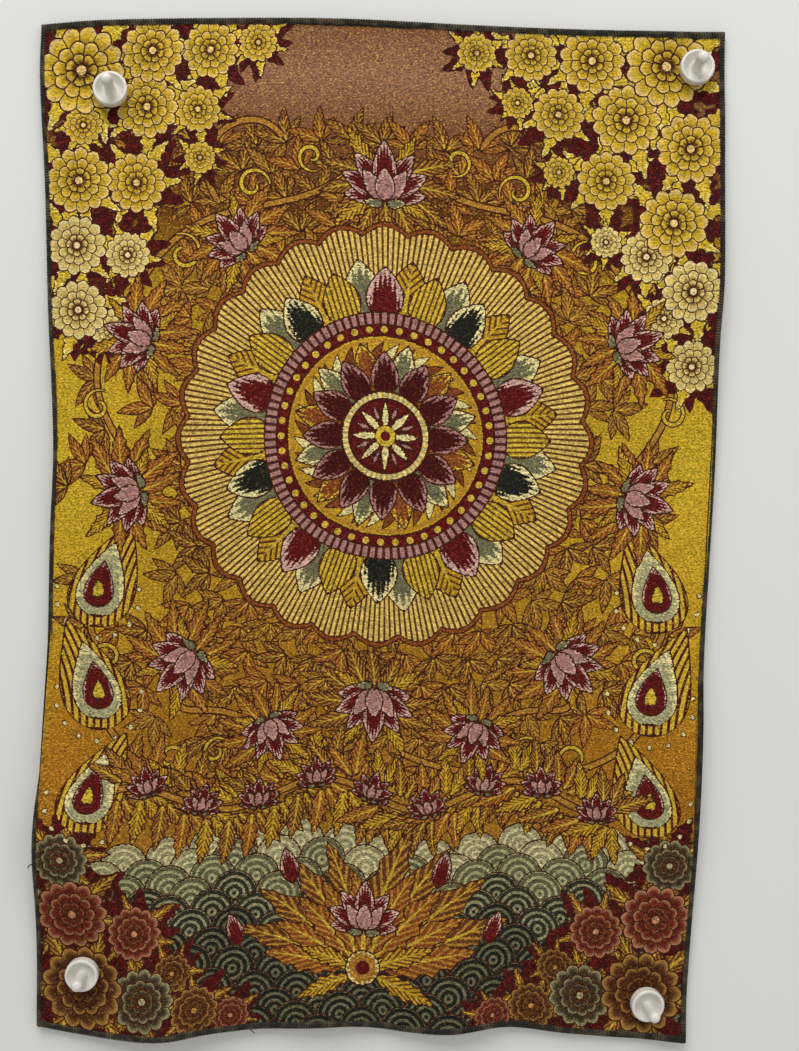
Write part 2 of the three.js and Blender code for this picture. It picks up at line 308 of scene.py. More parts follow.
# The woven ground from top to bottom: (millimetres down, colour in the middle, colour at the sides)
GROUND = (
    (0, light(118, 78, 50), light(108, 70, 32)),
    (16, light(144, 100, 74), light(118, 78, 44)),
    (38, light(110, 66, 32), light(102, 60, 18)),
    (56, light(90, 48, 12), light(120, 74, 14)),
    (80, light(140, 96, 20), light(182, 150, 34)),
    (130, light(172, 134, 28), light(192, 160, 40)),
    (176, light(158, 112, 26), light(184, 146, 34)),
    (210, light(138, 90, 22), light(166, 112, 24)),
    (240, light(146, 102, 30), light(150, 96, 24)),
    (302, light(116, 88, 36), light(146, 98, 26)),
)


def ground_tint(x, y):
    """The ground's colour: the table read down the cloth, and blended from the middle out to the sides."""
    down = np.array([row[0] for row in GROUND], float)
    middle = np.array([row[1] for row in GROUND])
    sides = np.array([row[2] for row in GROUND])
    inner = np.stack([np.interp(y, down, middle[:, k]) for k in range(3)], -1)
    outer = np.stack([np.interp(y, down, sides[:, k]) for k in range(3)], -1)
    share = np.clip(np.abs(x - CUT_WIDTH / 2) / (CUT_WIDTH / 2), 0, 1)[..., None] ** 2
    return inner * (1 - share) + outer * share


def look(tint, edge=None, fade=0.0, hatch=0.0, along=0.0, aside=0.0, rings=0.0, rays=0.0,
         gilt=0.0, midrib=0.0):
    """How a woven shape is filled.

    That is its colour and its edge colour, how strongly it fades and is hatched towards the edge colour,
    how many hatch lines run along, aside, in rings and in rays, its share of gilt, and its midrib's width.
    """
    edge = tint if edge is None else edge
    return [*tint, *edge, fade, hatch, along, aside, rings, rays, gilt, midrib]


# The columns of a look
TINT = slice(0, 3)
EDGE_TINT = slice(3, 6)
FADE, HATCH, ALONG, ASIDE, RINGS, RAYS, GILT, MIDRIB = range(6, 14)

# Kinds of shape, and the rim of one with no line: (kind, fullness or scallops, line width, lobes, depth)
PLAIN, LEAF, DISC, ROSETTE, REVERSE = range(5)
NO_RIM = (PLAIN, 1, 0, 0, 0)
LEAST_SIZE = 0.02


class Drawing:
    """Closed outlines on the flat cloth, each over those before it, with its look and its local frame."""

    def __init__(self, margin):
        self.low = np.array([margin, margin])
        self.high = np.array([CUT_WIDTH - margin, CUT_HEIGHT - margin])
        self.outlines = []
        self.looks = []
        self.places = []

    def add(self, outline, filling, place=(0, 0, 0, 1, 1, 0), rim=NO_RIM):
        outline = np.clip(outline, self.low, self.high)
        if len(outline) < 3 or np.ptp(outline, axis=0).min() < LEAST_SIZE:
            return
        self.outlines.append(outline)
        self.looks.append(filling)
        self.places.append((*place, *rim))


def aim(degrees):
    """A direction on the flat cloth: 0 is right, 90 is down and -90 is up."""
    return np.array([math.cos(math.radians(degrees)), math.sin(math.radians(degrees))])


def framed(s, t, base, degrees, length, half, bend):
    """Local s along and t aside as flat places: base + s length, and aside by t half + bend length s^2."""
    along = aim(degrees)
    side = np.array([-along[1], along[0]])
    aside = t * half + bend * length * s * s
    return np.asarray(base) + np.outer(s * length, along) + np.outer(aside, side)


def leaf_sides(steps, fullness, lobes, depth):
    """Both sides of a leaf or petal: half width sin(pi s^fullness)^0.85, notched by |cos| lobes."""
    s = 0.5 - 0.5 * np.cos(np.linspace(0, math.pi, steps))
    wide = np.sin(math.pi * s**fullness).clip(0) ** 0.85
    if lobes:
        wide = wide * (1 - depth * np.abs(np.cos(math.pi * lobes * s)))
    return np.concatenate([s, s[::-1][1:-1]]), np.concatenate([wide, -wide[::-1][1:-1]])


def petal(drawing, base, degrees, length, half, filling, bend=0.0, line=0.5, fullness=0.8, lobes=0,
          depth=0.3):
    """A petal or leaf, with a dark line inside its rim. Its local frame runs from its base to its tip."""
    steps = max(9, int(length / 1.3)) if not lobes else max(13, lobes * 5)
    s, t = leaf_sides(steps, fullness, lobes, depth)
    outline = framed(s, t, base, degrees, length, half, bend)
    place = (*base, math.radians(degrees), length, half, bend)
    drawing.add(outline, filling, place, (LEAF, fullness, line, lobes, depth if lobes else 0))


def disc(drawing, centre, radius, filling, line=0.0, scallops=0, depth=0.0, turn=0.0, kind=DISC):
    """A disc, or one whose rim swings out in scallops: radius (1 + depth |cos|)."""
    steps = int(np.clip(radius * 4, 10, 96)) if not scallops else scallops * 8
    angle = np.linspace(0, 2 * math.pi, steps, endpoint=False)
    swing = 1 + depth * np.abs(np.cos(scallops * angle / 2)) if scallops else 1.0
    heading = angle + math.radians(turn)
    rim = (radius * swing * np.stack([np.cos(heading), np.sin(heading)])).T + np.asarray(centre)
    place = (*centre, math.radians(turn), radius, radius, 0)
    drawing.add(rim, filling, place, (kind, scallops, line, 0, depth))


def ribbon(drawing, path, width, filling, line=0.0, taper=True):
    """A line of thread along a path, thinned to nothing at its ends as sin^0.6 where it is tapered."""
    share = np.linspace(0, 1, len(path))
    thin = np.sin(math.pi * np.clip(share, 0.02, 0.98)) ** 0.6 if taper else np.ones(len(path))
    along = unit(np.gradient(path, axis=0))
    side = np.stack([-along[:, 1], along[:, 0]], -1)
    for extra, fill in ((line, look(LINE)), (0.0, filling)):
        if extra or fill is filling:
            wide = (width / 2 * thin + extra)[:, None]
            drawing.add(np.concatenate([path + side * wide, (path - side * wide)[::-1]]), fill)


def bezier(points, steps):
    """A cubic curve from its first point to its last, drawn towards the two between."""
    t = np.linspace(0, 1, steps)[:, None]
    a, b, c, d = (np.asarray(p, float) for p in points)
    return a * (1 - t) ** 3 + 3 * b * t * (1 - t) ** 2 + 3 * c * t * t * (1 - t) + d * t**3


def spiral(start, degrees, radius, turns, side, steps=26):
    """A tendril: it leaves in a direction and winds in, its radius falling as 1 - 0.8 share."""
    share = np.linspace(0, 1, steps)
    angle = share * turns * 2 * math.pi
    shrink = radius * (1 - 0.8 * share)
    local = np.stack([shrink * np.sin(angle), side * (radius - shrink * np.cos(angle))], -1)
    along = aim(degrees)
    return np.asarray(start) + local[:, :1] * along + local[:, 1:] * np.array([-along[1], along[0]])


# Fillings

PETAL_LOOK = look(MAROON, PINK, fade=1.0, hatch=0.75, aside=4.0, gilt=0.0)
INNER_PETAL_LOOK = look(MAUVE, PINK, fade=0.9, hatch=0.7, aside=3.0)
HEART_PETAL_LOOK = look(DEEP_MAROON, MAUVE, fade=0.9, hatch=0.7, aside=3.0)
NIGHT_PETAL_LOOK = look(NIGHT_GREEN, CREAM, fade=0.85, hatch=0.8, aside=4.0)
GILT_PETAL_LOOK = look(CLOUD_GOLD, BROWN, hatch=0.8, aside=4.0, gilt=0.8)
SAGE_PETAL_LOOK = look(GREY_GREEN, CREAM, fade=0.9, hatch=0.6, aside=3.0, gilt=0.2)
LEAF_LOOK = look(RUST, OCHRE, hatch=0.85, along=8.0, aside=-3.0, gilt=0.3, midrib=0.15)
DARK_LEAF_LOOK = look(BROWN, OCHRE, hatch=0.8, along=8.0, aside=-3.0, gilt=0.25, midrib=0.15)
GOLD_LEAF_LOOK = look(GOLD, BROWN, hatch=0.9, along=8.0, aside=-3.0, gilt=0.6, midrib=0.15)
SMALL_RUST = look(light(122, 58, 22), OCHRE, hatch=0.8, along=5.0, aside=-2.0, gilt=0.15, midrib=0.12)
SMALL_OCHRE = look(OCHRE, BROWN, hatch=0.9, along=5.0, aside=-2.0, gilt=0.4, midrib=0.1)
SMALL_BROWN = look(BROWN, OCHRE, hatch=0.7, along=5.0, aside=-2.0, gilt=0.15, midrib=0.12)
SCROLL_LOOK = look(CLOUD_GOLD, CREAM, fade=0.9, aside=2.0, gilt=0.85)
SCROLL_SHADE = look(DEEP_MAROON, MAROON, hatch=0.6, along=4.0)
EARTH_LEAF = look(BROWN, OCHRE, hatch=0.8, along=6.0, aside=-3.0, gilt=0.2, midrib=0.25)
VINE_LOOK = look(OCHRE, BROWN, gilt=0.6)
PALE_VINE_LOOK = look(CLOUD_GOLD, gilt=0.8)
SCALE_LOOKS = (
    look(light(140, 132, 94), light(186, 176, 130), hatch=0.9, rings=3.6, gilt=0.1),
    look(light(90, 86, 60), SAGE, hatch=0.9, rings=3.6, gilt=0.1),
    look(light(40, 40, 30), light(128, 124, 92), hatch=0.75, rings=3.6),
    look(NIGHT_GREEN, light(94, 92, 68), hatch=0.8, rings=3.6),
)


def lotus(drawing, centre, size, degrees, petals=PETAL_LOOK, heart=INNER_PETAL_LOOK):
    """A blossom seen from the side: a fan of pointed petals, a nearer fan over it, and a cup in front."""
    centre = np.asarray(centre, float)
    for spread, length, half in ((84, 0.86, 0.24), (58, 1.0, 0.26), (30, 1.06, 0.25)):
        for side in (-1, 1):
            base = centre - aim(degrees) * size * 0.25
            heading = degrees + side * spread
            petal(drawing, base, heading, size * length, size * half, petals, bend=side * 0.1)
    petal(drawing, centre - aim(degrees) * size * 0.2, degrees, size * 1.1, size * 0.27, petals)
    for side in (-1, 1):
        base = centre - aim(degrees) * size * 0.36
        petal(drawing, base, degrees + side * 42, size * 0.8, size * 0.2, heart, bend=-side * 0.12)
    petal(drawing, centre - aim(degrees) * size * 0.4, degrees, size * 0.74, size * 0.22, heart)
    for side in (-1, 1):
        base = centre - aim(degrees) * size * 0.42
        heading = degrees + side * 96
        petal(drawing, base, heading, size * 0.46, size * 0.12, SAGE_PETAL_LOOK, bend=-side * 0.2)


def rosette(drawing, centre, radius, filling, turn=0.0):
    """An open flower of rounded petals: a scalloped outline, with three rows of petals woven inside it."""
    reach = radius * 0.88
    disc(drawing, centre, reach, filling, line=0.42, scallops=13, depth=0.14, turn=turn, kind=ROSETTE)


CLOUD_LOOK = look(light(184, 152, 36), light(212, 180, 116), gilt=0.7)
PALE_CLOUD_LOOK = look(light(196, 172, 96), light(216, 196, 144), gilt=0.3)
EARTH_LOOKS = (
    look(light(92, 26, 18), light(172, 120, 84), gilt=0.05),
    look(light(70, 34, 16), light(168, 122, 58), gilt=0.2),
    look(light(52, 44, 28), light(150, 140, 100), gilt=0.05),
)


def spray(drawing, centre, reach, angles, filling, half=0.2, bend=0.14):
    """Leaves with notched edges and a pale midrib, fanned out from a centre at the given angles."""
    centre = np.asarray(centre, float)
    for k, degrees in enumerate(angles):
        length = reach * (1.0 if k % 2 else 0.86)
        swing = bend if k % 2 else -bend
        base = centre + aim(degrees) * reach * 0.2
        petal(drawing, base, degrees, length, length * half, filling, bend=swing, line=0.4,
              lobes=5 if length > 13 else 3)


def paisley(drawing, base, degrees, length, side, rows):
    """A drop with its tip curled aside, and smaller drops of other fillings nested inside it."""
    base = np.asarray(base, float)
    for share, filling in rows:
        start = base + aim(degrees) * length * (1 - share) * 0.34
        curl = side * 0.32 * share
        petal(drawing, start, degrees, length * share, length * 0.33 * share, filling,
              bend=curl, line=0.45, fullness=0.62)


MIDDLE = CUT_WIDTH / 2
WHEEL_CENTRE = (MIDDLE, 122.0)


def petal_ring(drawing, count, first, distance, length, half, fillings, lean=0.0, **rim):
    """Petals set round the medallion's centre at a distance, each filled with the next of the fillings."""
    for k in range(count):
        degrees = first + k * 360 / count
        base = np.array(WHEEL_CENTRE) + aim(degrees) * distance
        petal(drawing, base, degrees + lean, length, half, fillings[k % len(fillings)], **rim)


def draw_wheel(drawing):
    """The round medallion: a rayed field, rings of petals and beads, and an eight-spoked wheel."""
    centre = np.array(WHEEL_CENTRE)
    rays = look(light(206, 176, 92), BROWN, hatch=0.9, rays=224, gilt=0.5)
    disc(drawing, centre, 61, look(RUST, gilt=0.3), line=0.5, scallops=28, depth=0.045)
    disc(drawing, centre, 59.6, rays, line=0.45, scallops=28, depth=0.045)
    disc(drawing, centre, 46, look(DARK_BROWN), line=0.5)
    behind = (GOLD_LEAF_LOOK, SAGE_PETAL_LOOK)
    nearer = (PETAL_LOOK, GILT_PETAL_LOOK, NIGHT_PETAL_LOOK, GILT_PETAL_LOOK)
    petal_ring(drawing, 20, -81, 33, 20, 6.2, behind, fullness=0.9)
    petal_ring(drawing, 20, -90, 33, 17.5, 5.9, nearer, fullness=0.9)
    disc(drawing, centre, 37.0, look(MAUVE, DEEP_MAROON, hatch=0.7, rays=96), line=0.5)
    disc(drawing, centre, 33.4, look(MAROON), line=0.5)
    bead = look(CLOUD_GOLD, CREAM, fade=1.0, gilt=0.6)
    for k in range(44):
        disc(drawing, centre + aim(k * 360 / 44) * 31.7, 1.05, bead)
    disc(drawing, centre, 30.0, look(GOLD, OCHRE, hatch=0.5, rings=9, gilt=0.8), line=0.5)
    curled = (look(RUST, BROWN, hatch=0.8, aside=3.0), look(CREAM, CLOUD_GOLD, fade=0.8, gilt=0.5))
    petal_ring(drawing, 36, 0, 21.5, 7.6, 1.5, curled, lean=24, bend=0.24, line=0.36)
    inner = (look(RUST, CLOUD_GOLD, fade=0.7, hatch=0.8, aside=3.0, gilt=0.4), SAGE_PETAL_LOOK)
    petal_ring(drawing, 12, 15, 13, 15.5, 4.2, inner)
    petal_ring(drawing, 12, 0, 11.5, 14.0, 4.5, (HEART_PETAL_LOOK,))
    disc(drawing, centre, 13.4, look(CREAM, GOLD, hatch=0.6, rays=48, gilt=0.4), line=0.45)
    disc(drawing, centre, 11.4, look(MAROON, DEEP_MAROON, fade=0.8), line=0.4)
    spoke = look(CREAM, CLOUD_GOLD, fade=1.0, gilt=0.4)
    between = look(MAUVE, PINK, fade=1.0)
    for degrees in range(0, 360, 45):
        petal(drawing, centre + aim(degrees) * 1.6, degrees, 9.4, 1.5, spoke)
        petal(drawing, centre + aim(degrees + 22.5) * 4.6, degrees + 22.5, 5.6, 1.0, between)
    disc(drawing, centre, 3.4, look(CLOUD_GOLD, CREAM, fade=0.8, gilt=0.6), line=0.4)
    disc(drawing, centre, 1.5, look(MAROON), line=0.2)


def draw_vines(drawing):
    """Scrolling stems between the blossoms, on both sides of the medallion, with tendrils and leaves."""
    stems = (
        ((6, 216), (60, 236), (92, 214), (86, 182)),
        ((86, 182), (98, 158), (58, 150), (76, 128)),
        ((76, 128), (96, 104), (84, 92), (70, 72)),
        ((70, 72), (52, 46), (26, 62), (6, 40)),
        ((30, 214), (48, 196), (60, 210), (62, 196)),
        ((50, 52), (60, 34), (38, 22), (30, 34)),
    )
    tendrils = (
        ((60, 222), 200, 5.0, 1), ((84, 192), -20, 5.5, -1), ((90, 160), 60, 5.0, 1),
        ((84, 108), -30, 5.0, 1), ((62, 62), 200, 6.0, -1), ((34, 50), 250, 5.5, 1),
        ((20, 44), 20, 4.5, -1), ((44, 214), 300, 4.5, 1), ((74, 146), 40, 4.5, -1),
        ((78, 84), 30, 5.0, -1), ((88, 170), 10, 4.0, 1),
    )
    for side in (-1, 1):
        for row in stems:
            path = bezier([(MIDDLE + side * x, y) for x, y in row], 30)
            ribbon(drawing, path, 1.5, VINE_LOOK, line=0.45, taper=False)
        for (x, y), degrees, radius, turn in tendrils:
            heading = degrees if side > 0 else 180 - degrees
            path = spiral((MIDDLE + side * x, y), heading, radius, 1.1, side * turn)
            ribbon(drawing, path, 1.0, PALE_VINE_LOOK, line=0.4)


def draw_blossoms(drawing):
    """Lotus blossoms on sprays of leaves, round the medallion: (aside, down, size, facing, leaf reach)."""
    rows = (
        (0, 47, 14.5, -90, 19), (44, 64, 11.5, -50, 16), (74, 92, 12.0, -20, 16), (78, 138, 12.5, 15, 17),
        (59, 189, 13.0, 45, 17), (31, 211, 11.0, 110, 15), (0, 203, 13.5, 90, 18),
    )
    for aside, down, size, facing, reach in rows:
        for side in (-1, 1) if aside else (1,):
            centre = (MIDDLE + side * aside, down)
            heading = facing if side > 0 else 180 - facing
            around = [heading + turn for turn in (180, 150, -150, 118, -118, 92, -92, 66, -66)]
            spray(drawing, centre, reach, around, LEAF_LOOK if aside else DARK_LEAF_LOOK)
            nearer = [heading + turn for turn in (40, -40, 135, -135)]
            spray(drawing, centre, reach * 0.86, nearer, GOLD_LEAF_LOOK)
            lotus(drawing, centre, size, heading)


def draw_garland(drawing):
    """A wavy row of leaves and buds across the cloth, between the medallion and the scale band."""
    x = np.linspace(24, CUT_WIDTH - 24, 90)
    wave = 230 + 4.2 * np.sin((x - MIDDLE) / 9.2)
    lean = np.where(x > MIDDLE, 30, -30)
    fillings = (LEAF_LOOK, DARK_LEAF_LOOK, GOLD_LEAF_LOOK)
    for k in range(0, 90, 2):
        up = -1 if k % 4 else 1
        heading = 90 * up + lean[k]
        around = [heading, heading + 30, heading - 28]
        spray(drawing, (x[k], wave[k]), 14.5, around, fillings[k // 2 % 3], half=0.22)
    ribbon(drawing, np.stack([x, wave], -1), 1.6, VINE_LOOK, line=0.45, taper=False)
    for k in range(5, 88, 10):
        lotus(drawing, (x[k], wave[k] - 1), 7.5, -90 + 16 * math.sin(k))


def draw_undergrowth(drawing):
    """Small leaves in the gaps round the blossoms, in sprigs that point away from the medallion."""
    generator = np.random.default_rng(5)
    fillings = (SMALL_RUST, SMALL_OCHRE, SMALL_BROWN)
    for row in range(24):
        for column in range(22):
            x = 6 + column * 9.4 + (4.7 if row % 2 else 0) + generator.uniform(-1.2, 1.2)
            y = 36 + row * 8.4 + generator.uniform(-1.2, 1.2)
            turn, choice, gap = generator.uniform(-35, 35), generator.integers(3), generator.uniform(0, 1)
            away = np.array([x, y]) - np.array(WHEEL_CENTRE)
            distance = np.hypot(*away)
            hidden = distance < 55 or distance > 96 + 22 * gap or x > CUT_WIDTH - 6 or y > 236
            bare_side = abs(away[0]) > 62 and 40 < y < 176 and gap < 0.84
            if hidden or bare_side:
                continue
            heading = math.degrees(math.atan2(away[1], away[0])) + turn
            for spread, length in ((-62, 8.5), (58, 9.0), (-24, 11.0), (26, 10.5)):
                petal(drawing, (x, y), heading + spread, length, length * 0.19, fillings[choice],
                      bend=math.copysign(0.2, spread), line=0.36)


def draw_scales(drawing):
    """The lower band of overlapping scales. Each row covers the one above, and they darken downwards."""
    pitch, drop, first = 13.4, 5.2, 247.0
    for row in range(13):
        for k in range(-1, 17):
            x = k * pitch + (pitch / 2 if row % 2 else 0)
            y = first + row * drop + 2.6 * math.sin(0.9 * k + row * 0.35)
            filling = SCALE_LOOKS[min(3, (row + (k + row) % 2) // 2)]
            disc(drawing, (x, y), pitch * 0.54, filling, line=0.5)


def draw_corners(drawing):
    """Rosettes on leaves, each (across, down, radius): gold in the upper corners, and earthy ones below."""
    gold = (
        (46, 40, 5), (24, 68, 7), (19, 90, 6.5), (64, 7, 6), (50, 9, 8.5), (46, 26, 7), (31, 25, 9.5),
        (9, 84, 9), (9, 65, 9), (27, 47, 9), (12, 30, 6), (10, 46, 10), (33, 9, 9.5), (12, 14, 13),
        (144, 8, 8), (128, 8, 6), (152, 25, 8), (140, 22, 5), (166, 44, 9), (152, 42, 5), (178, 66, 8),
        (166, 62, 5), (184, 84, 6.5), (193, 98, 8), (192, 76, 9.5), (186, 56, 10.5), (172, 26, 10.5),
        (162, 9, 10), (184, 10, 12.5), (191, 34, 10.5),
    )
    earthy = (
        (60, 297, 6), (141, 298, 6), (49, 294, 7.5), (153, 295, 7.5), (8, 248, 8.5), (193, 248, 8.5),
        (30, 270, 8.5), (172, 270, 8.5), (42, 282, 6), (160, 282, 6), (33, 290, 10), (168, 290, 10),
        (11, 265, 11), (190, 265, 11), (14, 288, 13), (187, 288, 13),
    )
    generator = np.random.default_rng(8)
    for rows, under, over in ((gold, SCROLL_SHADE, SCROLL_LOOK), (earthy, SCROLL_SHADE, EARTH_LEAF)):
        for x, y, radius in rows:
            turn = generator.uniform(0, 60)
            spray(drawing, (x, y), radius * 1.62, [turn + 40 * k for k in range(9)], under, half=0.26)
        for x, y, radius in rows:
            turn = generator.uniform(0, 60)
            spray(drawing, (x, y), radius * 1.5, [turn + 60 * k for k in range(6)], over, half=0.2)
    for x, y, radius in gold:
        rosette(drawing, (x, y), radius, PALE_CLOUD_LOOK if y > 60 else CLOUD_LOOK, turn=3.7 * x + y)
    for k, (x, y, radius) in enumerate(earthy):
        rosette(drawing, (x, y), radius, EARTH_LOOKS[k // 2 % 3], turn=2.9 * x + y)


def draw_paisleys(drawing):
    """Tall paisleys up both margins, with dots round them."""
    rows = ((15, 178, 32, -1), (16, 209, 33, 1), (15, 240, 31, -1))
    nested = (
        (1.0, look(CLOUD_GOLD, MAROON, hatch=0.85, aside=5.0, gilt=0.7)),
        (0.72, look(SAGE, CREAM, fade=0.8, hatch=0.6, along=9.0, gilt=0.2)),
        (0.45, look(MAROON, PINK, fade=1.0)),
        (0.2, look(CLOUD_GOLD, CREAM, fade=0.8, gilt=0.5)),
    )
    for side in (-1, 1):
        for x, y, length, curl in rows:
            place = (x if side < 0 else CUT_WIDTH - x, y)
            paisley(drawing, place, -90, length, curl * side, nested)
            for k in range(9):
                spot = np.array(place) + aim(25 * k - 10) * length * 0.4 + np.array([0, -length * 0.3])
                disc(drawing, spot, 0.9, look(CREAM, CLOUD_GOLD, fade=0.6, gilt=0.3), line=0.3)


def draw_palmette(drawing):
    """A fan of leaves rising from the bottom edge, with a blossom on it and buds beside."""
    foot = (MIDDLE, 286.0)
    spray(drawing, foot, 40, [-152, -28, -134, -46, -116, -64, -100, -80], DARK_LEAF_LOOK, half=0.17)
    spray(drawing, foot, 30, [-160, -20, -142, -38, -124, -56, -108, -72, -90], LEAF_LOOK, half=0.2)
    spray(drawing, foot, 20, [168, 12, -150, -30], GOLD_LEAF_LOOK)
    lotus(drawing, (MIDDLE, 268.0), 12.5, -90)
    for side in (-1, 1):
        petal(drawing, (MIDDLE + side * 22, 258), -90 + side * 14, 12, 3.1, PETAL_LOOK)
        petal(drawing, (MIDDLE + side * 38, 276), -90 + side * 20, 11, 2.8, PETAL_LOOK)
    disc(drawing, (MIDDLE, 284), 5.5, look(OCHRE, CREAM, fade=0.8, hatch=0.7, rays=18, gilt=0.5), line=0.5)
    disc(drawing, (MIDDLE, 284), 2.2, look(MAROON), line=0.3)


def draw_edge_shade(drawing):
    """The dark strip along each side that shows between the stitches of the edging."""
    low, (right, bottom) = drawing.low[0], drawing.high
    wide = {side: max(width - SHADE_INSET, LEAST_SHADE) for side, width in EDGING_WIDTHS.items()}
    for x0, y0, x1, y1 in (
        (low, low, right, low + wide["top"]),
        (low, bottom - wide["bottom"], right, bottom),
        (low, low, low + wide["left"], bottom),
        (right - wide["right"], low, right, bottom),
    ):
        drawing.add(np.array([(x0, y0), (x1, y0), (x1, y1), (x0, y1)]), look(EDGE_OLIVE))


def pattern(margin):
    """The whole design, from what lies furthest back to what lies on top."""
    drawing = Drawing(margin)
    draw_scales(drawing)
    draw_undergrowth(drawing)
    draw_vines(drawing)
    draw_corners(drawing)
    draw_paisleys(drawing)
    draw_garland(drawing)
    draw_palmette(drawing)
    draw_blossoms(drawing)
    draw_wheel(drawing)
    draw_edge_shade(drawing)
    return drawing


# The cloth's mesh

# How far inside the cut edge the sheet ends, how far inside that the design ends, and how near points join
CLOTH_INSET = 0.4
DESIGN_INSET = 0.3
MERGE_DISTANCE = 0.002

# Where the face and the reverse lie on the OFBake map: (left, low, width, height)
FACE_BOX = (0.01, 0.01, 0.64, 0.96)
REVERSE_BOX = (0.74, 0.01, 0.24, 0.36)


def flat_pin_places():
    """Where each needle passes the middle of the cloth, in flat millimetres, found by stepping to it."""
    flats = []
    for x, z, lean_right, lean_up in PINS.values():
        out = WALL_CLEARANCE + CAD_THICKNESS / 2
        goal = np.array([x + lean_right * out, z + lean_up * out])
        flat = np.array([goal[0] + CUT_WIDTH / 2, -goal[1]])
        for _ in range(12):
            place = cloth_middle(*flat) / MM
            flat = flat + np.array([goal[0] - place[0], place[2] - goal[1]])
        flats.append(flat)
    return flats


def hole_rings(sides):
    """The rim of each needle hole, as flat places."""
    angle = np.linspace(0, 2 * math.pi, sides, endpoint=False)
    ring = HOLE_RADIUS * np.stack([np.cos(angle), np.sin(angle)], -1)
    return [ring + centre for centre in flat_pin_places()]


def clear_of_holes(start, end):
    """Which lines stay away from every needle hole."""
    run = end - start
    clear = np.ones(len(start), bool)
    for centre in flat_pin_places():
        share = np.clip(((centre - start) * run).sum(1) / np.maximum((run * run).sum(1), 1e-9), 0, 1)
        nearest = start + run * share[:, None]
        clear &= np.hypot(*(nearest - centre).T) > HOLE_RADIUS + HOLE_MARGIN
    return clear


def rim_order(places, xs, ys):
    """The vertices on the rim, in order: along the top, down the right, back along the bottom and up."""
    x, y = places.T
    near = 1e-4
    top = np.flatnonzero(np.abs(y - ys[0]) < near)
    right = np.flatnonzero(np.abs(x - xs[-1]) < near)
    bottom = np.flatnonzero(np.abs(y - ys[-1]) < near)
    left = np.flatnonzero(np.abs(x - xs[0]) < near)
    return np.concatenate([
        top[np.argsort(x[top])][:-1], right[np.argsort(y[right])][:-1],
        bottom[np.argsort(-x[bottom])][:-1], left[np.argsort(-y[left])][:-1],
    ])


def windings(outline, spots):
    """How often an outline turns round each spot: upward crossings to its right less downward ones."""
    start, end = outline, np.roll(outline, -1, axis=0)
    x, y = spots[:, :1], spots[:, 1:]
    above_start, above_end = start[:, 1] > y, end[:, 1] > y
    run = (end - start)[:, 0] * (y - start[:, 1]) - (end - start)[:, 1] * (x - start[:, 0])
    rising = ~above_start & above_end & (run < 0)
    falling = above_start & ~above_end & (run > 0)
    return rising.sum(1) - falling.sum(1)


class SpotFinder:
    """Flat places sorted by their x, so that those in an outline's box are found quickly."""

    def __init__(self, spots):
        self.spots = spots
        self.order = np.argsort(spots[:, 0])
        self.sorted_x = spots[self.order, 0]

    def near(self, outline):
        """The numbers of the places in an outline's box."""
        low, high = outline.min(0), outline.max(0)
        first, last = np.searchsorted(self.sorted_x, (low[0], high[0]))
        near = self.order[first:last]
        return near[(self.spots[near, 1] > low[1]) & (self.spots[near, 1] < high[1])]


def visible_edges(outlines):
    """The corners of all outlines, and those edges that no later outline covers from end to end."""
    owner = np.repeat(np.arange(len(outlines)), [len(outline) for outline in outlines])
    flat = np.concatenate(outlines)
    following = np.arange(1, len(flat) + 1)
    ends = np.cumsum([len(outline) for outline in outlines])
    following[ends - 1] = np.concatenate([[0], ends[:-1]])
    middle = (flat + flat[following]) / 2
    covered = np.zeros(len(flat), bool)
    finder = SpotFinder(flat)
    for shape, outline in enumerate(outlines):
        near = finder.near(outline)
        near = near[(owner[near] < shape) & ~covered[near]]
        for spots in (flat, flat[following], middle):
            near = near[windings(outline, spots[near]) != 0]
        covered[near] = True
    edges = np.stack([np.arange(len(flat)), following], -1)[~covered]
    used, packed = np.unique(edges, return_inverse=True)
    return flat[used], packed.reshape(-1, 2)


def topmost_shapes(outlines, spots):
    """The number of the last outline round each spot, counted from 1, or 0 for bare ground."""
    finder = SpotFinder(spots)
    shapes = np.zeros(len(spots), int)
    for shape, outline in enumerate(outlines, 1):
        near = finder.near(outline)
        shapes[near[windings(outline, spots[near]) != 0]] = shape
    return shapes


def cut_layer(corners, edges, holes, xs, ys):
    """The flat cloth cut into triangles along the given edges and by a grid, with the needle holes open."""
    grid = np.stack(np.meshgrid(xs, ys, indexing="ij"), -1).reshape(-1, 2)
    for centre in flat_pin_places():
        grid = grid[np.hypot(*(grid - centre).T) > HOLE_RADIUS + 3 * HOLE_MARGIN]
    sides = len(holes[0])
    ring = np.stack([np.arange(sides), np.roll(np.arange(sides), -1)], -1)
    loops = [ring + len(corners) + k * sides for k in range(len(holes))]
    flat = np.concatenate([corners, *holes, grid])
    lines = np.concatenate([edges, *loops])
    made = delaunay_2d_cdt(flat.tolist(), lines.tolist(), [], 0, MERGE_DISTANCE, False)
    places = np.array([tuple(v) for v in made[0]])
    triangles = np.array(made[2])
    triangles = triangles[topmost_shapes(holes, places[triangles].mean(1)) == 0]
    corner = places[triangles]
    turn = np.cross(corner[:, 1] - corner[:, 0], corner[:, 2] - corner[:, 0])
    triangles[turn > 0] = triangles[turn > 0][:, ::-1]
    used, packed = np.unique(triangles, return_inverse=True)
    places = places[used]
    rims = [rim_order(places, xs, ys)]
    for hole in holes:
        away = places[:, None] - hole
        rims.append(np.argmin(np.hypot(away[..., 0], away[..., 1]), axis=0)[::-1])
    return places, packed.reshape(-1, 3), rims


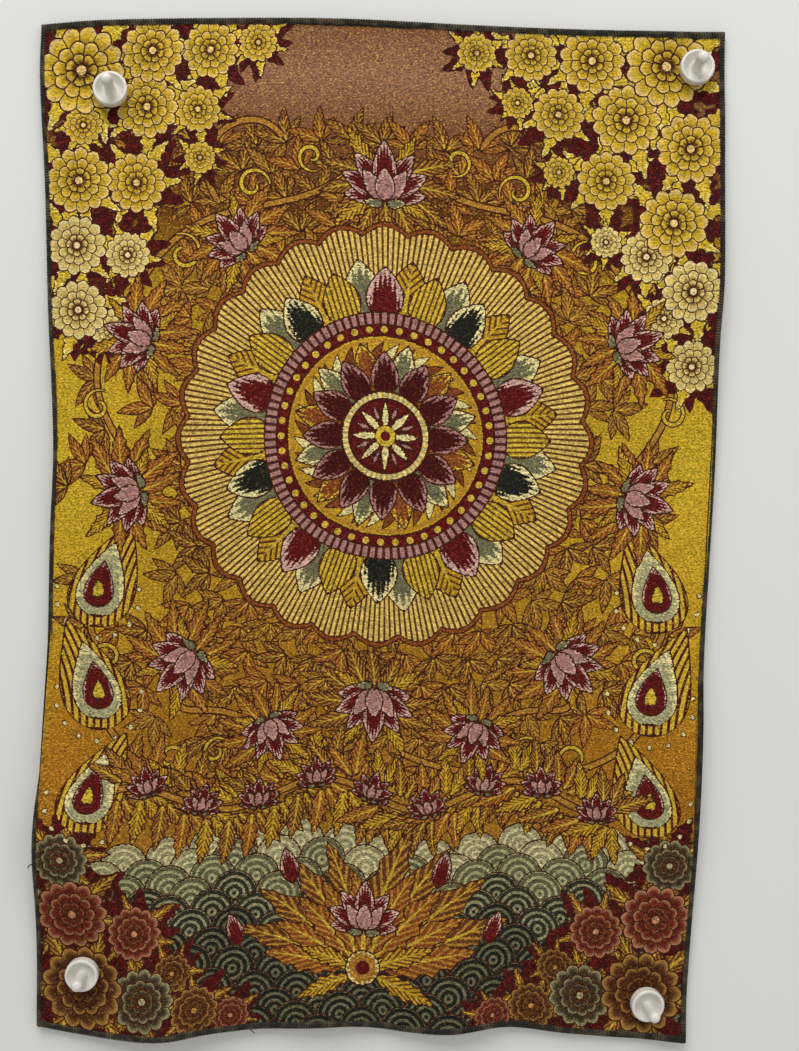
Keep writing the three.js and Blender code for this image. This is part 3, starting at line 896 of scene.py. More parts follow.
def corner_facts(drawing, places, triangles, shapes):
    """The look and local coordinates of each triangle's three corners, from the shape it belongs to.

    Local s is the place along the shape's own direction, as a share of its length, and t the place aside
    of its bent middle line, as a share of its half width. Bare ground takes its tint from its own table.
    """
    looks = np.array([look(GOLD, BROWN, gilt=0.62), *drawing.looks])[shapes]
    frames = np.array([(0, 0, 0, 1, 1, 0, *NO_RIM), *drawing.places], float)[shapes]
    heading, length, half, bend = frames[:, 2:6, None].transpose(1, 0, 2)
    corner = places[triangles]
    away = corner - frames[:, None, :2]
    cosine, sine = np.cos(heading), np.sin(heading)
    s = (away[..., 0] * cosine + away[..., 1] * sine) / length
    t = (away[..., 1] * cosine - away[..., 0] * sine - bend * length * s * s) / half
    looks = np.repeat(looks[:, None], 3, axis=1)
    ground = shapes == 0
    looks[ground, :, TINT] = ground_tint(corner[ground][..., 0], corner[ground][..., 1])
    looks[ground, :, EDGE_TINT] = looks[ground, :, TINT]
    s[ground], t[ground] = 0, 0
    local = np.stack([s, t, np.repeat(half, 3, 1), np.repeat(length, 3, 1)], -1)
    rims = np.repeat(frames[:, None, 6:11], 3, axis=1)
    return looks.reshape(-1, 14), local.reshape(-1, 4), rims.reshape(-1, 5), corner.reshape(-1, 2)


def reverse_looks(drawing, flat):
    """The looks of the reverse: the face's tints, dulled and streaked with their opposites."""
    plain = np.tile(np.array(look(DARK_BROWN, BROWN, hatch=0.95, along=0.34, gilt=0.12)), (len(flat), 1))
    ground = ground_tint(flat[:, 0], flat[:, 1])
    through = np.array([look(GOLD), *drawing.looks])[topmost_shapes(drawing.outlines, flat), TINT]
    plain[:, TINT] = ground * 0.2 + through * 0.5 + DARK_BROWN * 0.3
    plain[:, EDGE_TINT] = ground * 0.45 + (1 - through) * ground * 0.25
    return plain


def add_corner_attributes(mesh, looks, local, rims, flat):
    """What the brocade's material reads at each face corner: two colours, and sets of three numbers."""
    colours = {"tint": looks[:, TINT], "edge_tint": looks[:, EDGE_TINT]}
    for name, values in colours.items():
        layer = mesh.attributes.new(name, "FLOAT_COLOR", "CORNER")
        with_alpha = np.hstack([values, np.ones((len(values), 1))])
        layer.data.foreach_set("color", with_alpha.astype(np.float32).ravel())
    numbers = {
        "local_place": local[:, 0:3],
        "hatching": looks[:, [ALONG, ASIDE, RINGS]],
        "filling": looks[:, [FADE, HATCH, GILT]],
        "rim": rims[:, [0, 1, 2]],
        "rim_notches": rims[:, [3, 4, 0]],
        "rays": looks[:, [RAYS, MIDRIB, MIDRIB]],
        "flat_place": np.hstack([flat, local[:, 3:4]]),
    }
    for name, values in numbers.items():
        layer = mesh.attributes.new(name, "FLOAT_VECTOR", "CORNER")
        layer.data.foreach_set("vector", values.astype(np.float32).ravel())


def add_picture_map(mesh, flat, front_corners):
    """The OFBake map: the face and the reverse laid flat, each in a box of its own."""
    shares = flat / np.array([CUT_WIDTH, CUT_HEIGHT])
    on_front = (np.arange(len(flat)) < front_corners)[:, None]
    boxes = [np.array(box[:2]) + shares * np.array(box[2:]) for box in (FACE_BOX, REVERSE_BOX)]
    layout = np.where(on_front, *boxes)
    mesh.uv_layers.new(name="OFBake").data.foreach_set("uv", layout.astype(np.float32).ravel())


def woven_cloth(settings, material):
    """One closed sheet: the patterned face, a plainer reverse on a grid, and walls that join them."""
    xs = np.linspace(CLOTH_INSET, CUT_WIDTH - CLOTH_INSET, settings.cells_across + 1)
    ys = np.linspace(CLOTH_INSET, CUT_HEIGHT - CLOTH_INSET, settings.cells_down + 1)
    drawing = pattern(CLOTH_INSET + DESIGN_INSET)
    holes = hole_rings(settings.hole_sides)
    corners, edges = visible_edges(drawing.outlines)
    edges = edges[clear_of_holes(corners[edges[:, 0]], corners[edges[:, 1]])]
    places, triangles, rims = cut_layer(corners, edges, holes, xs, ys)
    shapes = topmost_shapes(drawing.outlines, places[triangles].mean(1))
    front = corner_facts(drawing, places, triangles, shapes)

    bare = np.zeros((0, 2))
    back_places, back, back_rims = cut_layer(bare, bare.astype(int), holes, xs, ys)
    back = back[:, ::-1] + len(places)
    walls = np.concatenate([
        np.stack([ahead, np.roll(ahead, -1), np.roll(behind, -1) + len(places), behind + len(places)], -1)
        for ahead, behind in zip(rims, back_rims)
    ])
    flat = np.concatenate([places, back_places])
    out_of_face = cloth_frame(flat[:, 0], flat[:, 1])[2]
    out_of_face[len(places):] *= -1
    points = cloth_middle(flat[:, 0], flat[:, 1]) + out_of_face * settings.thickness / 2
    piece = mesh_object("brocade_cloth", points, [triangles, back, walls], material)

    other_corners = np.concatenate([back.ravel(), walls.ravel()])
    other = flat[other_corners]
    nothing, one = np.zeros(len(other)), np.ones(len(other))
    plain = (
        reverse_looks(drawing, other),
        np.stack([other[:, 1], nothing, one, nothing], -1),
        np.stack([one * REVERSE, one, nothing, nothing, nothing], -1),
        other,
    )
    facts = [np.concatenate(pair) for pair in zip(front, plain)]
    add_corner_attributes(piece.data, *facts)
    add_picture_map(piece.data, facts[3], len(front[3]))

    normals = out_of_face[np.concatenate([triangles.ravel(), other_corners])]
    wall = points[walls]
    square_out = unit(np.cross(wall[:, 1] - wall[:, 0], wall[:, 3] - wall[:, 0]))
    normals[-walls.size:] = np.repeat(square_out, 4, axis=0)
    piece.data.normals_split_custom_set(normals.tolist())
    return piece


# The overlocked edging and its loose thread ends


def lifted_path(x, y, height):
    """Flat places and heights above the cloth's middle as points in space."""
    return cloth_middle(x, y) + cloth_frame(x, y)[2] * (height * MM)[:, None]


def side_length(side):
    return CUT_WIDTH if side in ("top", "bottom") else CUT_HEIGHT


def side_places(side, along, inward):
    """Flat places at distances along a side of the cloth and inwards from it."""
    return {
        "top": (along, inward),
        "bottom": (along, CUT_HEIGHT - inward),
        "left": (inward, along),
        "right": (CUT_WIDTH - inward, along),
    }[side]


def edging_path(side, settings, seed):
    """Thread wound round the cloth's edge: a flattened helix, a little thicker than the cloth.

    Round each turn the inward place is half the edging's width times 1 - cos, and the height is sin^0.6.
    The width wanders a little from turn to turn, and slowly along the side.
    """
    generator = np.random.default_rng(seed)
    length = side_length(side)
    turns = int(length * MM / settings.pitch)
    share = np.linspace(0, 1, turns * settings.points_per_turn + 1)
    angle = 2 * math.pi * turns * share
    wander = np.interp(share * turns, np.arange(turns + 1), generator.normal(0, 1, turns + 1))
    slow = np.interp(share, np.linspace(0, 1, 24), generator.normal(0, 1, 24))
    reach = EDGING_WIDTHS[side] * (1 + 0.1 * wander + 0.06 * slow)
    inward = 0.05 + reach * (0.5 - 0.5 * np.cos(angle))
    along = share * length + 0.5 * np.sin(angle) + 0.05 * wander
    along = np.clip(along, 0.2, length - 0.2)
    half_height = (settings.cloth_half + settings.thread * 0.55) / MM
    height = half_height * np.sign(np.sin(angle)) * np.abs(np.sin(angle)) ** 0.6
    return lifted_path(*side_places(side, along, inward), height)


def chain_path(side, settings):
    """The row of small stitches on the face along the inner side of the edging: a shallow wave."""
    length = side_length(side)
    turns = int(length * MM / settings.pitch / 2)
    share = np.linspace(0, 1, turns * 6 + 1)
    inward = EDGING_WIDTHS[side] * 0.84 + 0.14 * np.sin(2 * math.pi * turns * share)
    along = 1 + share * (length - 2)
    height = settings.cloth_half / MM + 0.1 + 0.14 * np.cos(4 * math.pi * turns * share)
    return lifted_path(*side_places(side, along, inward), height)


def overlocked_side(side, settings, material, seed):
    """One side's wound thread, its chain stitches and its snipped thread ends, as one piece."""
    level = np.array([1.0, 0, 0]) if side in ("top", "bottom") else np.array([0, 0, 1.0])
    outwards = np.array([0, -1.0, 0])
    runs = [(edging_path(side, settings, seed), 0.5, level), (chain_path(side, settings), 0.36, outwards)]
    if side in LOOSE_ENDS:
        runs.append((lifted_path(*np.array(LOOSE_ENDS[side]).T), 0.3, outwards))
    points, faces = np.zeros((0, 3)), []
    for path, share_of_thread, up in runs:
        more_points, more_faces = tube(path, settings.thread * share_of_thread, 5, up)
        faces += [group + len(points) for group in more_faces]
        points = np.concatenate([points, more_points])
    return mesh_object(f"overlocking_{side}", points, faces, material)


# Materials


def fill(tree, node, inputs):
    """Links or sets a node's inputs, given by name or number."""
    for name, value in inputs.items():
        if isinstance(value, Signal):
            tree.links.new(value.socket, node.inputs[name])
        else:
            node.inputs[name].default_value = value


def make(tree, kind, inputs=None, **settings):
    """Adds a shader node, sets its options, and then fills its inputs."""
    node = tree.nodes.new(kind)
    for name, value in settings.items():
        setattr(node, name, value)
    fill(tree, node, inputs or {})
    return node


class Signal:
    """What a shader node gives out. Plain arithmetic on it adds Math nodes."""

    def __init__(self, tree, socket):
        self.tree = tree
        self.socket = socket

    def step(self, operation, *others, clamp=False):
        return maths(self.tree, operation, self, *others, clamp=clamp)

    def scaled(self, times, plus):
        return self.step("MULTIPLY_ADD", times, plus)

    def smooth(self, low, high):
        """0 below one value and 1 above the other, with soft ends."""
        inputs = {"Value": self, "From Min": low, "From Max": high}
        return result(self.tree, "ShaderNodeMapRange", inputs, interpolation_type="SMOOTHSTEP")

    def __add__(self, other):
        return self.step("ADD", other)

    def __sub__(self, other):
        return self.step("SUBTRACT", other)

    def __rsub__(self, other):
        return maths(self.tree, "SUBTRACT", other, self)

    def __mul__(self, other):
        return self.step("MULTIPLY", other)

    def __truediv__(self, other):
        return self.step("DIVIDE", other)

    def __abs__(self):
        return self.step("ABSOLUTE")

    def __lt__(self, other):
        return self.step("LESS_THAN", other)

    def __gt__(self, other):
        return self.step("GREATER_THAN", other)


def result(tree, kind, inputs=None, output=0, **settings):
    return Signal(tree, make(tree, kind, inputs, **settings).outputs[output])


def maths(tree, operation, *values, clamp=False):
    """A Math node's result, from numbers or signals."""
    return result(tree, "ShaderNodeMath", dict(enumerate(values)), operation=operation, use_clamp=clamp)


def blend(tree, share, first, second, blend_type="MIX"):
    """Two colours mixed by a share."""
    inputs = {0: share, 6: first, 7: second}
    return result(tree, "ShaderNodeMix", inputs, 2, data_type="RGBA", blend_type=blend_type)


def colour(values):
    return (*[float(v) for v in values], 1.0)


def split(tree, vector):
    """The three numbers of a vector."""
    parts = make(tree, "ShaderNodeSeparateXYZ", {"Vector": vector}).outputs
    return [Signal(tree, part) for part in parts]


def attribute(tree, name, output="Vector"):
    return result(tree, "ShaderNodeAttribute", None, output, attribute_name=name)


def noise(tree, place, scale, detail):
    inputs = {"Vector": place, "Scale": scale, "Detail": detail}
    return result(tree, "ShaderNodeTexNoise", inputs)


def bump(tree, height, strength, distance):
    inputs = {"Height": height, "Strength": strength, "Distance": distance}
    return result(tree, "ShaderNodeBump", inputs)


def new_group(name, inputs):
    """A shader node group and its inputs, which are named, each with its default or none for a vector."""
    tree = bpy.data.node_groups.new(name, "ShaderNodeTree")
    for label, default in inputs.items():
        kind = "NodeSocketVector" if default is None else "NodeSocketFloat"
        socket = tree.interface.new_socket(label, in_out="INPUT", socket_type=kind)
        if default is not None:
            socket.default_value = default
    sockets = tree.nodes.new("NodeGroupInput").outputs
    return tree, [Signal(tree, sockets[label]) for label in inputs]


def finish_group(tree, results):
    """The group with its named outputs, all single values."""
    for label in results:
        tree.interface.new_socket(label, in_out="OUTPUT", socket_type="NodeSocketFloat")
    fill(tree, tree.nodes.new("NodeGroupOutput"), results)
    return tree


def use_group(tree, group, inputs):
    outputs = make(tree, "ShaderNodeGroup", inputs, node_tree=group).outputs
    return {socket.name: Signal(tree, socket) for socket in outputs}


def grain_group():
    """Fine uneven grain at a size, and slower blotches, as values round 0.5. Every material uses it."""
    tree, (place, fine, coarse) = new_group("fine_grain", {"Place": None, "Fine": 1000.0, "Coarse": 60.0})
    return finish_group(tree, {
        "Grain": noise(tree, place, fine, 2.0),
        "Blotch": noise(tree, place, coarse, 3.0),
    })


def thread_group():
    """Threads of a weave in flat millimetres: each crossing's shade, ribs, streaks and painted glints on
    gilt.
    """
    inputs = {"Flat Place": None, "Weft Pitch": 0.42, "Warp Pitch": 0.5}
    tree, (place, weft_pitch, warp_pitch) = new_group("woven_threads", inputs)
    x, y, z = split(tree, place)
    weft = y / weft_pitch
    row = weft.step("FLOOR")
    warp = x / warp_pitch + row * 0.333
    cell = result(tree, "ShaderNodeCombineXYZ", {"X": warp.step("FLOOR"), "Y": row, "Z": z})
    shade = result(tree, "ShaderNodeTexWhiteNoise", {"Vector": cell}, "Value", noise_dimensions="3D")
    ribs = weft.step("PINGPONG", 0.5).smooth(0.0, 0.4) * warp.step("PINGPONG", 0.5).smooth(0.0, 0.22)
    stretched = result(tree, "ShaderNodeMapping", {"Vector": place, "Scale": (0.09, 2.1, 1.0)})
    flattened = result(tree, "ShaderNodeMapping", {"Vector": place, "Scale": (1.4, 2.5, 1.0)})
    clumps = noise(tree, flattened, 1.0, 2.0).smooth(0.34, 0.66)
    return finish_group(tree, {
        "Shade": shade,
        "Ribs": ribs,
        "Streak": noise(tree, stretched, 1.0, 3.0),
        # Painted glint: bright specks where gilt threads would catch the light, later mixed into the colour
        "Painted glint": shade.smooth(0.7, 0.95) * clumps.smooth(0.25, 0.9),
        "Stipple": shade * 0.5 + clumps * 0.5,
    })


def petal_row_group():
    """One row of rounded petals round a flower: radius rim (0.86 + 0.14 |cos|), dark between the petals."""
    inputs = {"Distance": 0.0, "Turns": 0.0, "Rim": 1.0, "Petals": 10.0, "Offset": 0.0}
    tree, (distance, turns, rim, petals, offset) = new_group("petal_row", inputs)
    swing = abs(((turns + offset) * petals * math.pi).step("COSINE"))
    inside = rim * swing.scaled(0.14, 0.86) - distance
    border = inside < 0.045
    gap = swing * distance < 0.1
    return finish_group(tree, {
        "Cover": inside > 0.0,
        "Line": border.step("MAXIMUM", gap),
        "Depth": inside / (rim * 0.42),
    })


def new_material(name):
    material = bpy.data.materials.new(name)
    material.use_nodes = True
    tree = material.node_tree
    return material, tree, tree.nodes["Principled BSDF"]


def leaf_depth(s, size, length, half_width, fullness, lobes, notch_depth):
    """How far inside a leaf's rim a place is, in millimetres, by the formula of leaf_sides."""
    swell = (s.step("MAXIMUM", 0.0001).step("POWER", fullness) * math.pi).step("SINE")
    swell = swell.step("MAXIMUM", 0.0001).step("POWER", 0.85)
    notch = abs((s * lobes * math.pi).step("COSINE")) * notch_depth
    aside = (swell * (1.0 - notch) - size) * half_width
    ends = s.step("MINIMUM", 1.0 - s) * length
    return (aside * 0.86).step("MINIMUM", ends * 0.5)


def disc_depth(far, turn, radius, scallops, swing):
    """How far inside a disc's rim a place is, in millimetres, by the formula of disc."""
    rim = abs((turn * scallops * math.pi).step("COSINE")).scaled(swing, 1.0)
    return (rim - far) * radius


def rosette_colour(tree, petals, far, turn, stipple, first, second, heart):
    """Three rows of petals and a heart."""
    flower = first
    for rim, count, offset in ((1.14, 13.0, 0.0), (0.76, 10.0, 0.04), (0.44, 7.0, 0.02)):
        given = {"Distance": far, "Turns": turn, "Rim": rim, "Petals": count, "Offset": offset}
        row = use_group(tree, petals, given)
        depth = (stipple - 0.5).scaled(0.5, row["Depth"])
        tone = blend(tree, depth.smooth(0.12, 0.5), second, first)
        tone = blend(tree, depth.smooth(0.62, 1.25), tone, heart)
        tone = blend(tree, row["Line"], tone, colour(LINE))
        flower = blend(tree, row["Cover"], flower, tone)
    flower = blend(tree, far < 0.17, flower, colour(LINE))
    return blend(tree, far < 0.12, flower, second)


def brocade_material(threads, grain, petals, settings):
    """The weave: each shape's colour and edge colour, mixed by fade and hatching, in stippled threads."""
    material, tree, shader = new_material("brocade")
    place = attribute(tree, "flat_place")
    s, t, half_width = split(tree, attribute(tree, "local_place"))
    hatch_along, hatch_aside, hatch_rings = split(tree, attribute(tree, "hatching"))
    fading, hatching, gilding = split(tree, attribute(tree, "filling"))
    kind, fullness, line_width = split(tree, attribute(tree, "rim"))
    lobes, notch_depth, _ = split(tree, attribute(tree, "rim_notches"))
    rays, midrib_width, _ = split(tree, attribute(tree, "rays"))
    length = split(tree, place)[2]
    woven = use_group(tree, threads, {"Flat Place": place})
    grains = use_group(tree, grain, {"Place": place, "Fine": 3.4, "Coarse": 0.05})
    stipple = woven["Stipple"]

    size = abs(t)
    far = (s * s + t * t).step("SQRT")
    turn = t.step("ARCTAN2", s) / (2 * math.pi)
    is_leaf = kind.step("COMPARE", float(LEAF), 0.1)
    is_rosette = kind.step("COMPARE", float(ROSETTE), 0.1)
    is_reverse = kind.step("COMPARE", float(REVERSE), 0.1)

    # The dark line inside a rim
    leaf = leaf_depth(s, size, length, half_width, fullness, lobes, notch_depth)
    round_rim = disc_depth(far, turn, half_width, fullness, notch_depth)
    inside = is_leaf * leaf + (1.0 - is_leaf) * round_rim
    ragged = (stipple - 0.5).scaled(0.4, inside)
    outline = (ragged < line_width) * (line_width > 0.01)

    # Hatching and fading
    phase = size.scaled(hatch_aside, s * hatch_along)
    phase = turn.scaled(rays, far.scaled(hatch_rings, phase))
    wave = (phase + woven["Streak"] * 5.0 * is_reverse).step("PINGPONG", 0.5)
    hatch = wave.smooth(0.24, 0.34) * hatching
    reach = wave.scaled(0.5, far * far * 0.75)
    fade = reach.smooth(0.42, 0.86) * fading
    share = fade.step("MAXIMUM", hatch * (fading < 0.01))
    stippled = (stipple - 0.5).scaled(0.7, share)
    share = stippled.smooth(0.36, 0.62) * share.smooth(0.02, 0.1)
    midrib = (size < midrib_width * (1.0 - s)) * (midrib_width > 0.01)

    first = attribute(tree, "tint", "Color")
    second = attribute(tree, "edge_tint", "Color")
    base = blend(tree, share, first, second)
    base = blend(tree, midrib * 0.8, base, colour(CLOUD_GOLD))
    heart = colour(settings.heart_colour)
    flower = rosette_colour(tree, petals, far, turn, stipple, first, second, heart)
    base = blend(tree, is_rosette, base, flower)
    base = blend(tree, outline, base, colour(LINE))

    uneven = woven["Streak"].scaled(0.7, 0.66) * grains["Blotch"].scaled(0.3, 0.86)
    lightness = stipple.scaled(1.56, 0.28) * uneven
    grey = result(tree, "ShaderNodeCombineColor", dict.fromkeys(("Red", "Green", "Blue"), lightness))
    shaded = blend(tree, 1.0, base, grey, "MULTIPLY")
    gilt = gilding * (1.0 - outline)
    # Painted glint: a painted highlight, the glint colour mixed into the base colour on gilt threads
    painted_glint = woven["Painted glint"].step("MULTIPLY", gilt.scaled(0.55, 0.06), clamp=True)
    height = share.scaled(0.35, woven["Shade"].scaled(0.5, woven["Ribs"]))
    fill(tree, shader, {
        "Base Color": blend(tree, painted_glint, shaded, colour(settings.painted_glint_colour)),
        "Roughness": woven["Shade"].scaled(0.22, gilt.scaled(-0.2, 0.62)),
        "Metallic": gilt * woven["Shade"].scaled(0.5, 0.35),
        "Normal": bump(tree, height, 0.55, 0.00012),
        "Specular IOR Level": 0.1,
        "Sheen Weight": 0.02,
        "Sheen Roughness": 0.4,
    })
    return material


def grained_material(name, grain, fine, coarse):
    """A new material with grain in space: it, its tree, its shader, the grain and the blotches."""
    material, tree, shader = new_material(name)
    place = result(tree, "ShaderNodeTexCoord", None, "Object")
    grains = use_group(tree, grain, {"Place": place, "Fine": fine, "Coarse": coarse})
    return material, tree, shader, grains["Grain"], grains["Blotch"]


def thread_material(grain, settings):
    """Dark spun thread, lighter in slow patches of its own tone, with fine lighter specks that are painted
    sheen.
    """
    material, tree, shader, fine, blotch = grained_material("edging_thread", grain, 1800.0, 260.0)
    fleck_and_painted_sheen = colour(settings.fleck_and_painted_sheen)
    # Slow patches of the lighter colour: the thread's own uneven tone
    tone = blend(tree, blotch.smooth(0.42, 0.66), colour(settings.colour), fleck_and_painted_sheen)
    # Fine specks of the lighter colour: painted sheen
    tone = blend(tree, fine.smooth(0.58, 0.72) * 0.35, tone, fleck_and_painted_sheen)
    fill(tree, shader, {
        "Base Color": tone,
        "Roughness": fine.scaled(0.3, 0.5),
        "Normal": bump(tree, fine, 0.5, 0.0001),
        "Sheen Weight": 0.08,
        "Sheen Roughness": 0.5,
        "Specular IOR Level": 0.25,
    })
    return material


def plastic_material(grain, settings):
    """Satin moulded plastic, a little uneven in gloss, with faint handling marks."""
    material, tree, shader, fine, blotch = grained_material("pin_plastic", grain, 900.0, 180.0)
    dulled = blotch.smooth(0.45, 0.75)
    fill(tree, shader, {
        "Base Color": blend(tree, dulled, colour(settings.colour), colour(settings.shade)),
        "Roughness": blotch.scaled(0.22, 0.18),
        "Normal": bump(tree, fine, 0.12, 0.0001),
        "Subsurface Weight": 0.04,
        "Subsurface Scale": 0.001,
        "Specular IOR Level": 0.5,
    })
    return material


def steel_material(grain):
    """Drawn steel wire, a little uneven in tone and gloss."""
    material, tree, shader, fine, blotch = grained_material("needle_steel", grain, 2500.0, 400.0)
    fill(tree, shader, {
        "Base Color": blend(tree, blotch, colour(light(150, 150, 154)), colour(light(196, 196, 200))),
        "Roughness": fine.scaled(0.3, 0.15),
        "Metallic": 1.0,
    })
    return material


def wall_material(grain, settings):
    """Matt pale paint. From behind it is clear, so that the back of the hanging can be seen through it."""
    material, tree, shader, fine, blotch = grained_material("pale_wall", grain, 500.0, 3.0)
    fill(tree, shader, {
        "Base Color": blend(tree, blotch, colour(settings.wall_colour), colour(settings.wall_shade)),
        "Roughness": 0.85,
        "Normal": bump(tree, fine, 0.05, 0.0002),
        "Specular IOR Level": 0.2,
    })
    clear = result(tree, "ShaderNodeBsdfTransparent")
    behind = result(tree, "ShaderNodeNewGeometry", None, "Backfacing")
    paint = Signal(tree, shader.outputs[0])
    mixed = result(tree, "ShaderNodeMixShader", {0: behind, 1: paint, 2: clear})
    fill(tree, tree.nodes["Material Output"], {"Surface": mixed})
    return material


# Settings that a user would change


def length_setting(name, description, default):
    return FloatProperty(name=name, description=description, default=default, unit="LENGTH")


def colour_setting(name, description, red, green, blue):
    """A colour, given as it looks on a screen."""
    default = tuple(light(red, green, blue))
    return FloatVectorProperty(name=name, description=description, default=default, subtype="COLOR")


class ClothSettings(bpy.types.PropertyGroup):
    thickness: length_setting("Thickness", "Of the woven cloth", 0.0008)
    cells_across: IntProperty(name="Cells across", description="Grid cells across the cloth", default=66)
    cells_down: IntProperty(name="Cells down", description="Grid cells down the cloth", default=100)
    hole_sides: IntProperty(name="Hole sides", description="Facets round a needle hole", default=16)
    # The colour of the painted highlight on gilt threads
    painted_glint_colour: colour_setting("Spark colour", "Gilt thread where it catches the light", 232, 208, 98)
    heart_colour: colour_setting("Heart colour", "Where the petals of a rosette meet", 84, 40, 14)


class EdgingSettings(bpy.types.PropertyGroup):
    thread: length_setting("Thread", "Diameter of the edging thread", 0.00062)
    pitch: length_setting("Pitch", "From one stitch to the next", 0.00078)
    cloth_half: length_setting("Half cloth", "Half the cloth's thickness", 0.0004)
    points_per_turn: IntProperty(name="Points per turn", description="Round one stitch", default=18)
    colour: colour_setting("Colour", "Thread", 29, 27, 19)
    # Lighter thread colour: a real tone in slow patches, painted sheen in fine specks
    fleck_and_painted_sheen: colour_setting("Fleck and painted sheen", "Lighter flecks in the thread", 80, 72, 52)


class PinSettings(bpy.types.PropertyGroup):
    collar_radius: length_setting("Collar radius", "Of the wide collar", 0.005)
    collar_height: length_setting("Collar height", "From its back to its lip", 0.0032)
    knob_radius: length_setting("Knob radius", "Of the rounded knob", 0.00175)
    stem_radius: length_setting("Stem radius", "At its foot", 0.0015)
    height: length_setting("Height", "From the back to the tip", 0.0118)
    needle_radius: length_setting("Needle radius", "Steel wire", 0.00055)
    needle_length: length_setting("Needle length", "Steel wire", 0.0095)
    colour: colour_setting("Colour", "Plastic", 219, 215, 205)
    shade: colour_setting("Shade", "Duller plastic", 207, 203, 192)


class StageSettings(bpy.types.PropertyGroup):
    wall_colour: colour_setting("Wall", "Paint", 221, 221, 217)
    wall_shade: colour_setting("Wall shade", "Paint, a little darker", 216, 216, 212)
    key_power: FloatProperty(name="Key light", description="From above", default=14.3, unit="POWER")
    fill_power: FloatProperty(name="Fill light", description="From the right", default=1.9, unit="POWER")
    world_strength: FloatProperty(name="Room light", description="Even, from all round", default=0.47)
    camera_distance: length_setting("Camera distance", "From the wall", 0.431)
    camera_height: length_setting("Camera height", "From the top edge, upwards", -0.12465)
    camera_aside: length_setting("Camera aside", "To the right", 0.00483)
    camera_tilt: FloatProperty(
        name="Camera tilt", description="Downwards", default=math.radians(3), subtype="ANGLE",
    )
    focal_length: FloatProperty(
        name="Focal length", description="For a 36 mm film", default=49.32, subtype="DISTANCE_CAMERA",
    )


# One operator for each piece or group of like pieces


def shared_group(name, build):
    return bpy.data.node_groups.get(name) or build()


class HANGING_OT_cloth(bpy.types.Operator):
    """Weaves the patterned cloth"""

    bl_idname = "hanging.cloth"
    bl_label = "Weave cloth"

    def execute(self, context):
        settings = context.scene.hanging_cloth
        threads = shared_group("woven_threads", thread_group)
        grain = shared_group("fine_grain", grain_group)
        petals = shared_group("petal_row", petal_row_group)
        piece = woven_cloth(settings, brocade_material(threads, grain, petals, settings))
        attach(piece, "root")
        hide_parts("cloth_panel")
        return {"FINISHED"}


class HANGING_OT_edging(bpy.types.Operator):
    """Overlocks the four sides"""

    bl_idname = "hanging.edging"
    bl_label = "Overlock edges"

    def execute(self, context):
        settings = context.scene.hanging_edging
        material = thread_material(shared_group("fine_grain", grain_group), settings)
        for seed, side in enumerate(EDGING_WIDTHS, 11):
            piece = overlocked_side(side, settings, material, seed)
            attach(piece, "root")
            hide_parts(f"edging_{side}")
        return {"FINISHED"}


def pin_profile(settings):
    """The plastic body as (radius, height): a rounded collar with a dish, a slim stem and a round knob."""
    rounding, lip, dish_depth, hollow = 0.0005, 0.0004, 0.0022, 0.0007
    rim = settings.collar_radius - rounding
    top = settings.collar_height
    dish = top - dish_depth
    stem = settings.stem_radius
    foot = stem + hollow
    share = np.linspace(0.95, 0.1, 8)
    bowl = np.stack([foot + share * (rim - rounding - foot), dish + share**1.6 * (top - 0.0003 - dish)], -1)
    knob = settings.knob_radius
    return np.concatenate([
        [[0, 0]],
        arc(rim, rounding, rounding, -90, 0, 7),
        arc(rim, top - rounding, rounding, 0, 90, 7),
        arc(rim - 0.0001, top - lip, lip, 90, 160, 5),
        bowl,
        arc(foot, dish + hollow, hollow, -90, -180, 8),
        [[stem, 0.0055], [stem * 1.03, 0.0075], [knob * 0.98, 0.0092]],
        arc(0, settings.height - knob, knob, 0, 84, 12),
        [[0, settings.height]],
    ])


def needle_profile(settings):
    """The wire as (radius, height): a point, a straight shank, and a bevelled end at the plastic."""
    wire = settings.needle_radius
    tip = -settings.needle_length
    bevel, taper, point = 0.0001, 0.002, 0.0006
    return np.array([
        [0, tip], [wire * 0.3, tip + point], [wire, tip + taper], [wire, -bevel], [wire * 0.8, 0], [0, 0],
    ])


class HANGING_OT_pins(bpy.types.Operator):
    """Presses in the four push pins"""

    bl_idname = "hanging.pins"
    bl_label = "Press in pins"

    def execute(self, context):
        settings = context.scene.hanging_pins
        grain = shared_group("fine_grain", grain_group)
        plastic = plastic_material(grain, settings)
        steel = steel_material(grain)
        off_the_wall = (WALL_CLEARANCE + CAD_THICKNESS + COLLAR_ALLOWANCE + PIN_GAP) * MM
        for name, (x, z, lean_right, lean_up) in PINS.items():
            axis = unit(np.array([lean_right, -1.0, lean_up]))
            start = off_the_wall + settings.collar_radius * math.hypot(lean_right, lean_up)
            foot = np.array([x, 0, z]) * MM
            points, faces = turned(pin_profile(settings), 72, axis, foot + axis * start)
            body = mesh_object(f"push_pin_{name}", points, faces, plastic)
            points, faces = turned(needle_profile(settings), 24, axis, foot + axis * (start - PIN_GAP * MM))
            needle = mesh_object(f"pin_needle_{name}", points, faces, steel)
            for piece, slot, node in ((body, "pin_plastic", "pin"), (needle, "needle_steel", "needle")):
                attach(piece, "root")
                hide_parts(f"{node}_{name}")
        return {"FINISHED"}


def board(name, corners, material):
    """One flat quad of the stage."""
    return mesh_object(name, np.array(corners), [np.array([[0, 1, 2, 3]])], material, smooth=False)


def set_room(scene, strength):
    """Even white light from all round."""
    scene.world = bpy.data.worlds.new("room")
    scene.world.use_nodes = True
    background = scene.world.node_tree.nodes["Background"].inputs
    background["Color"].default_value = (1.0, 1.0, 1.0, 1.0)
    background["Strength"].default_value = strength


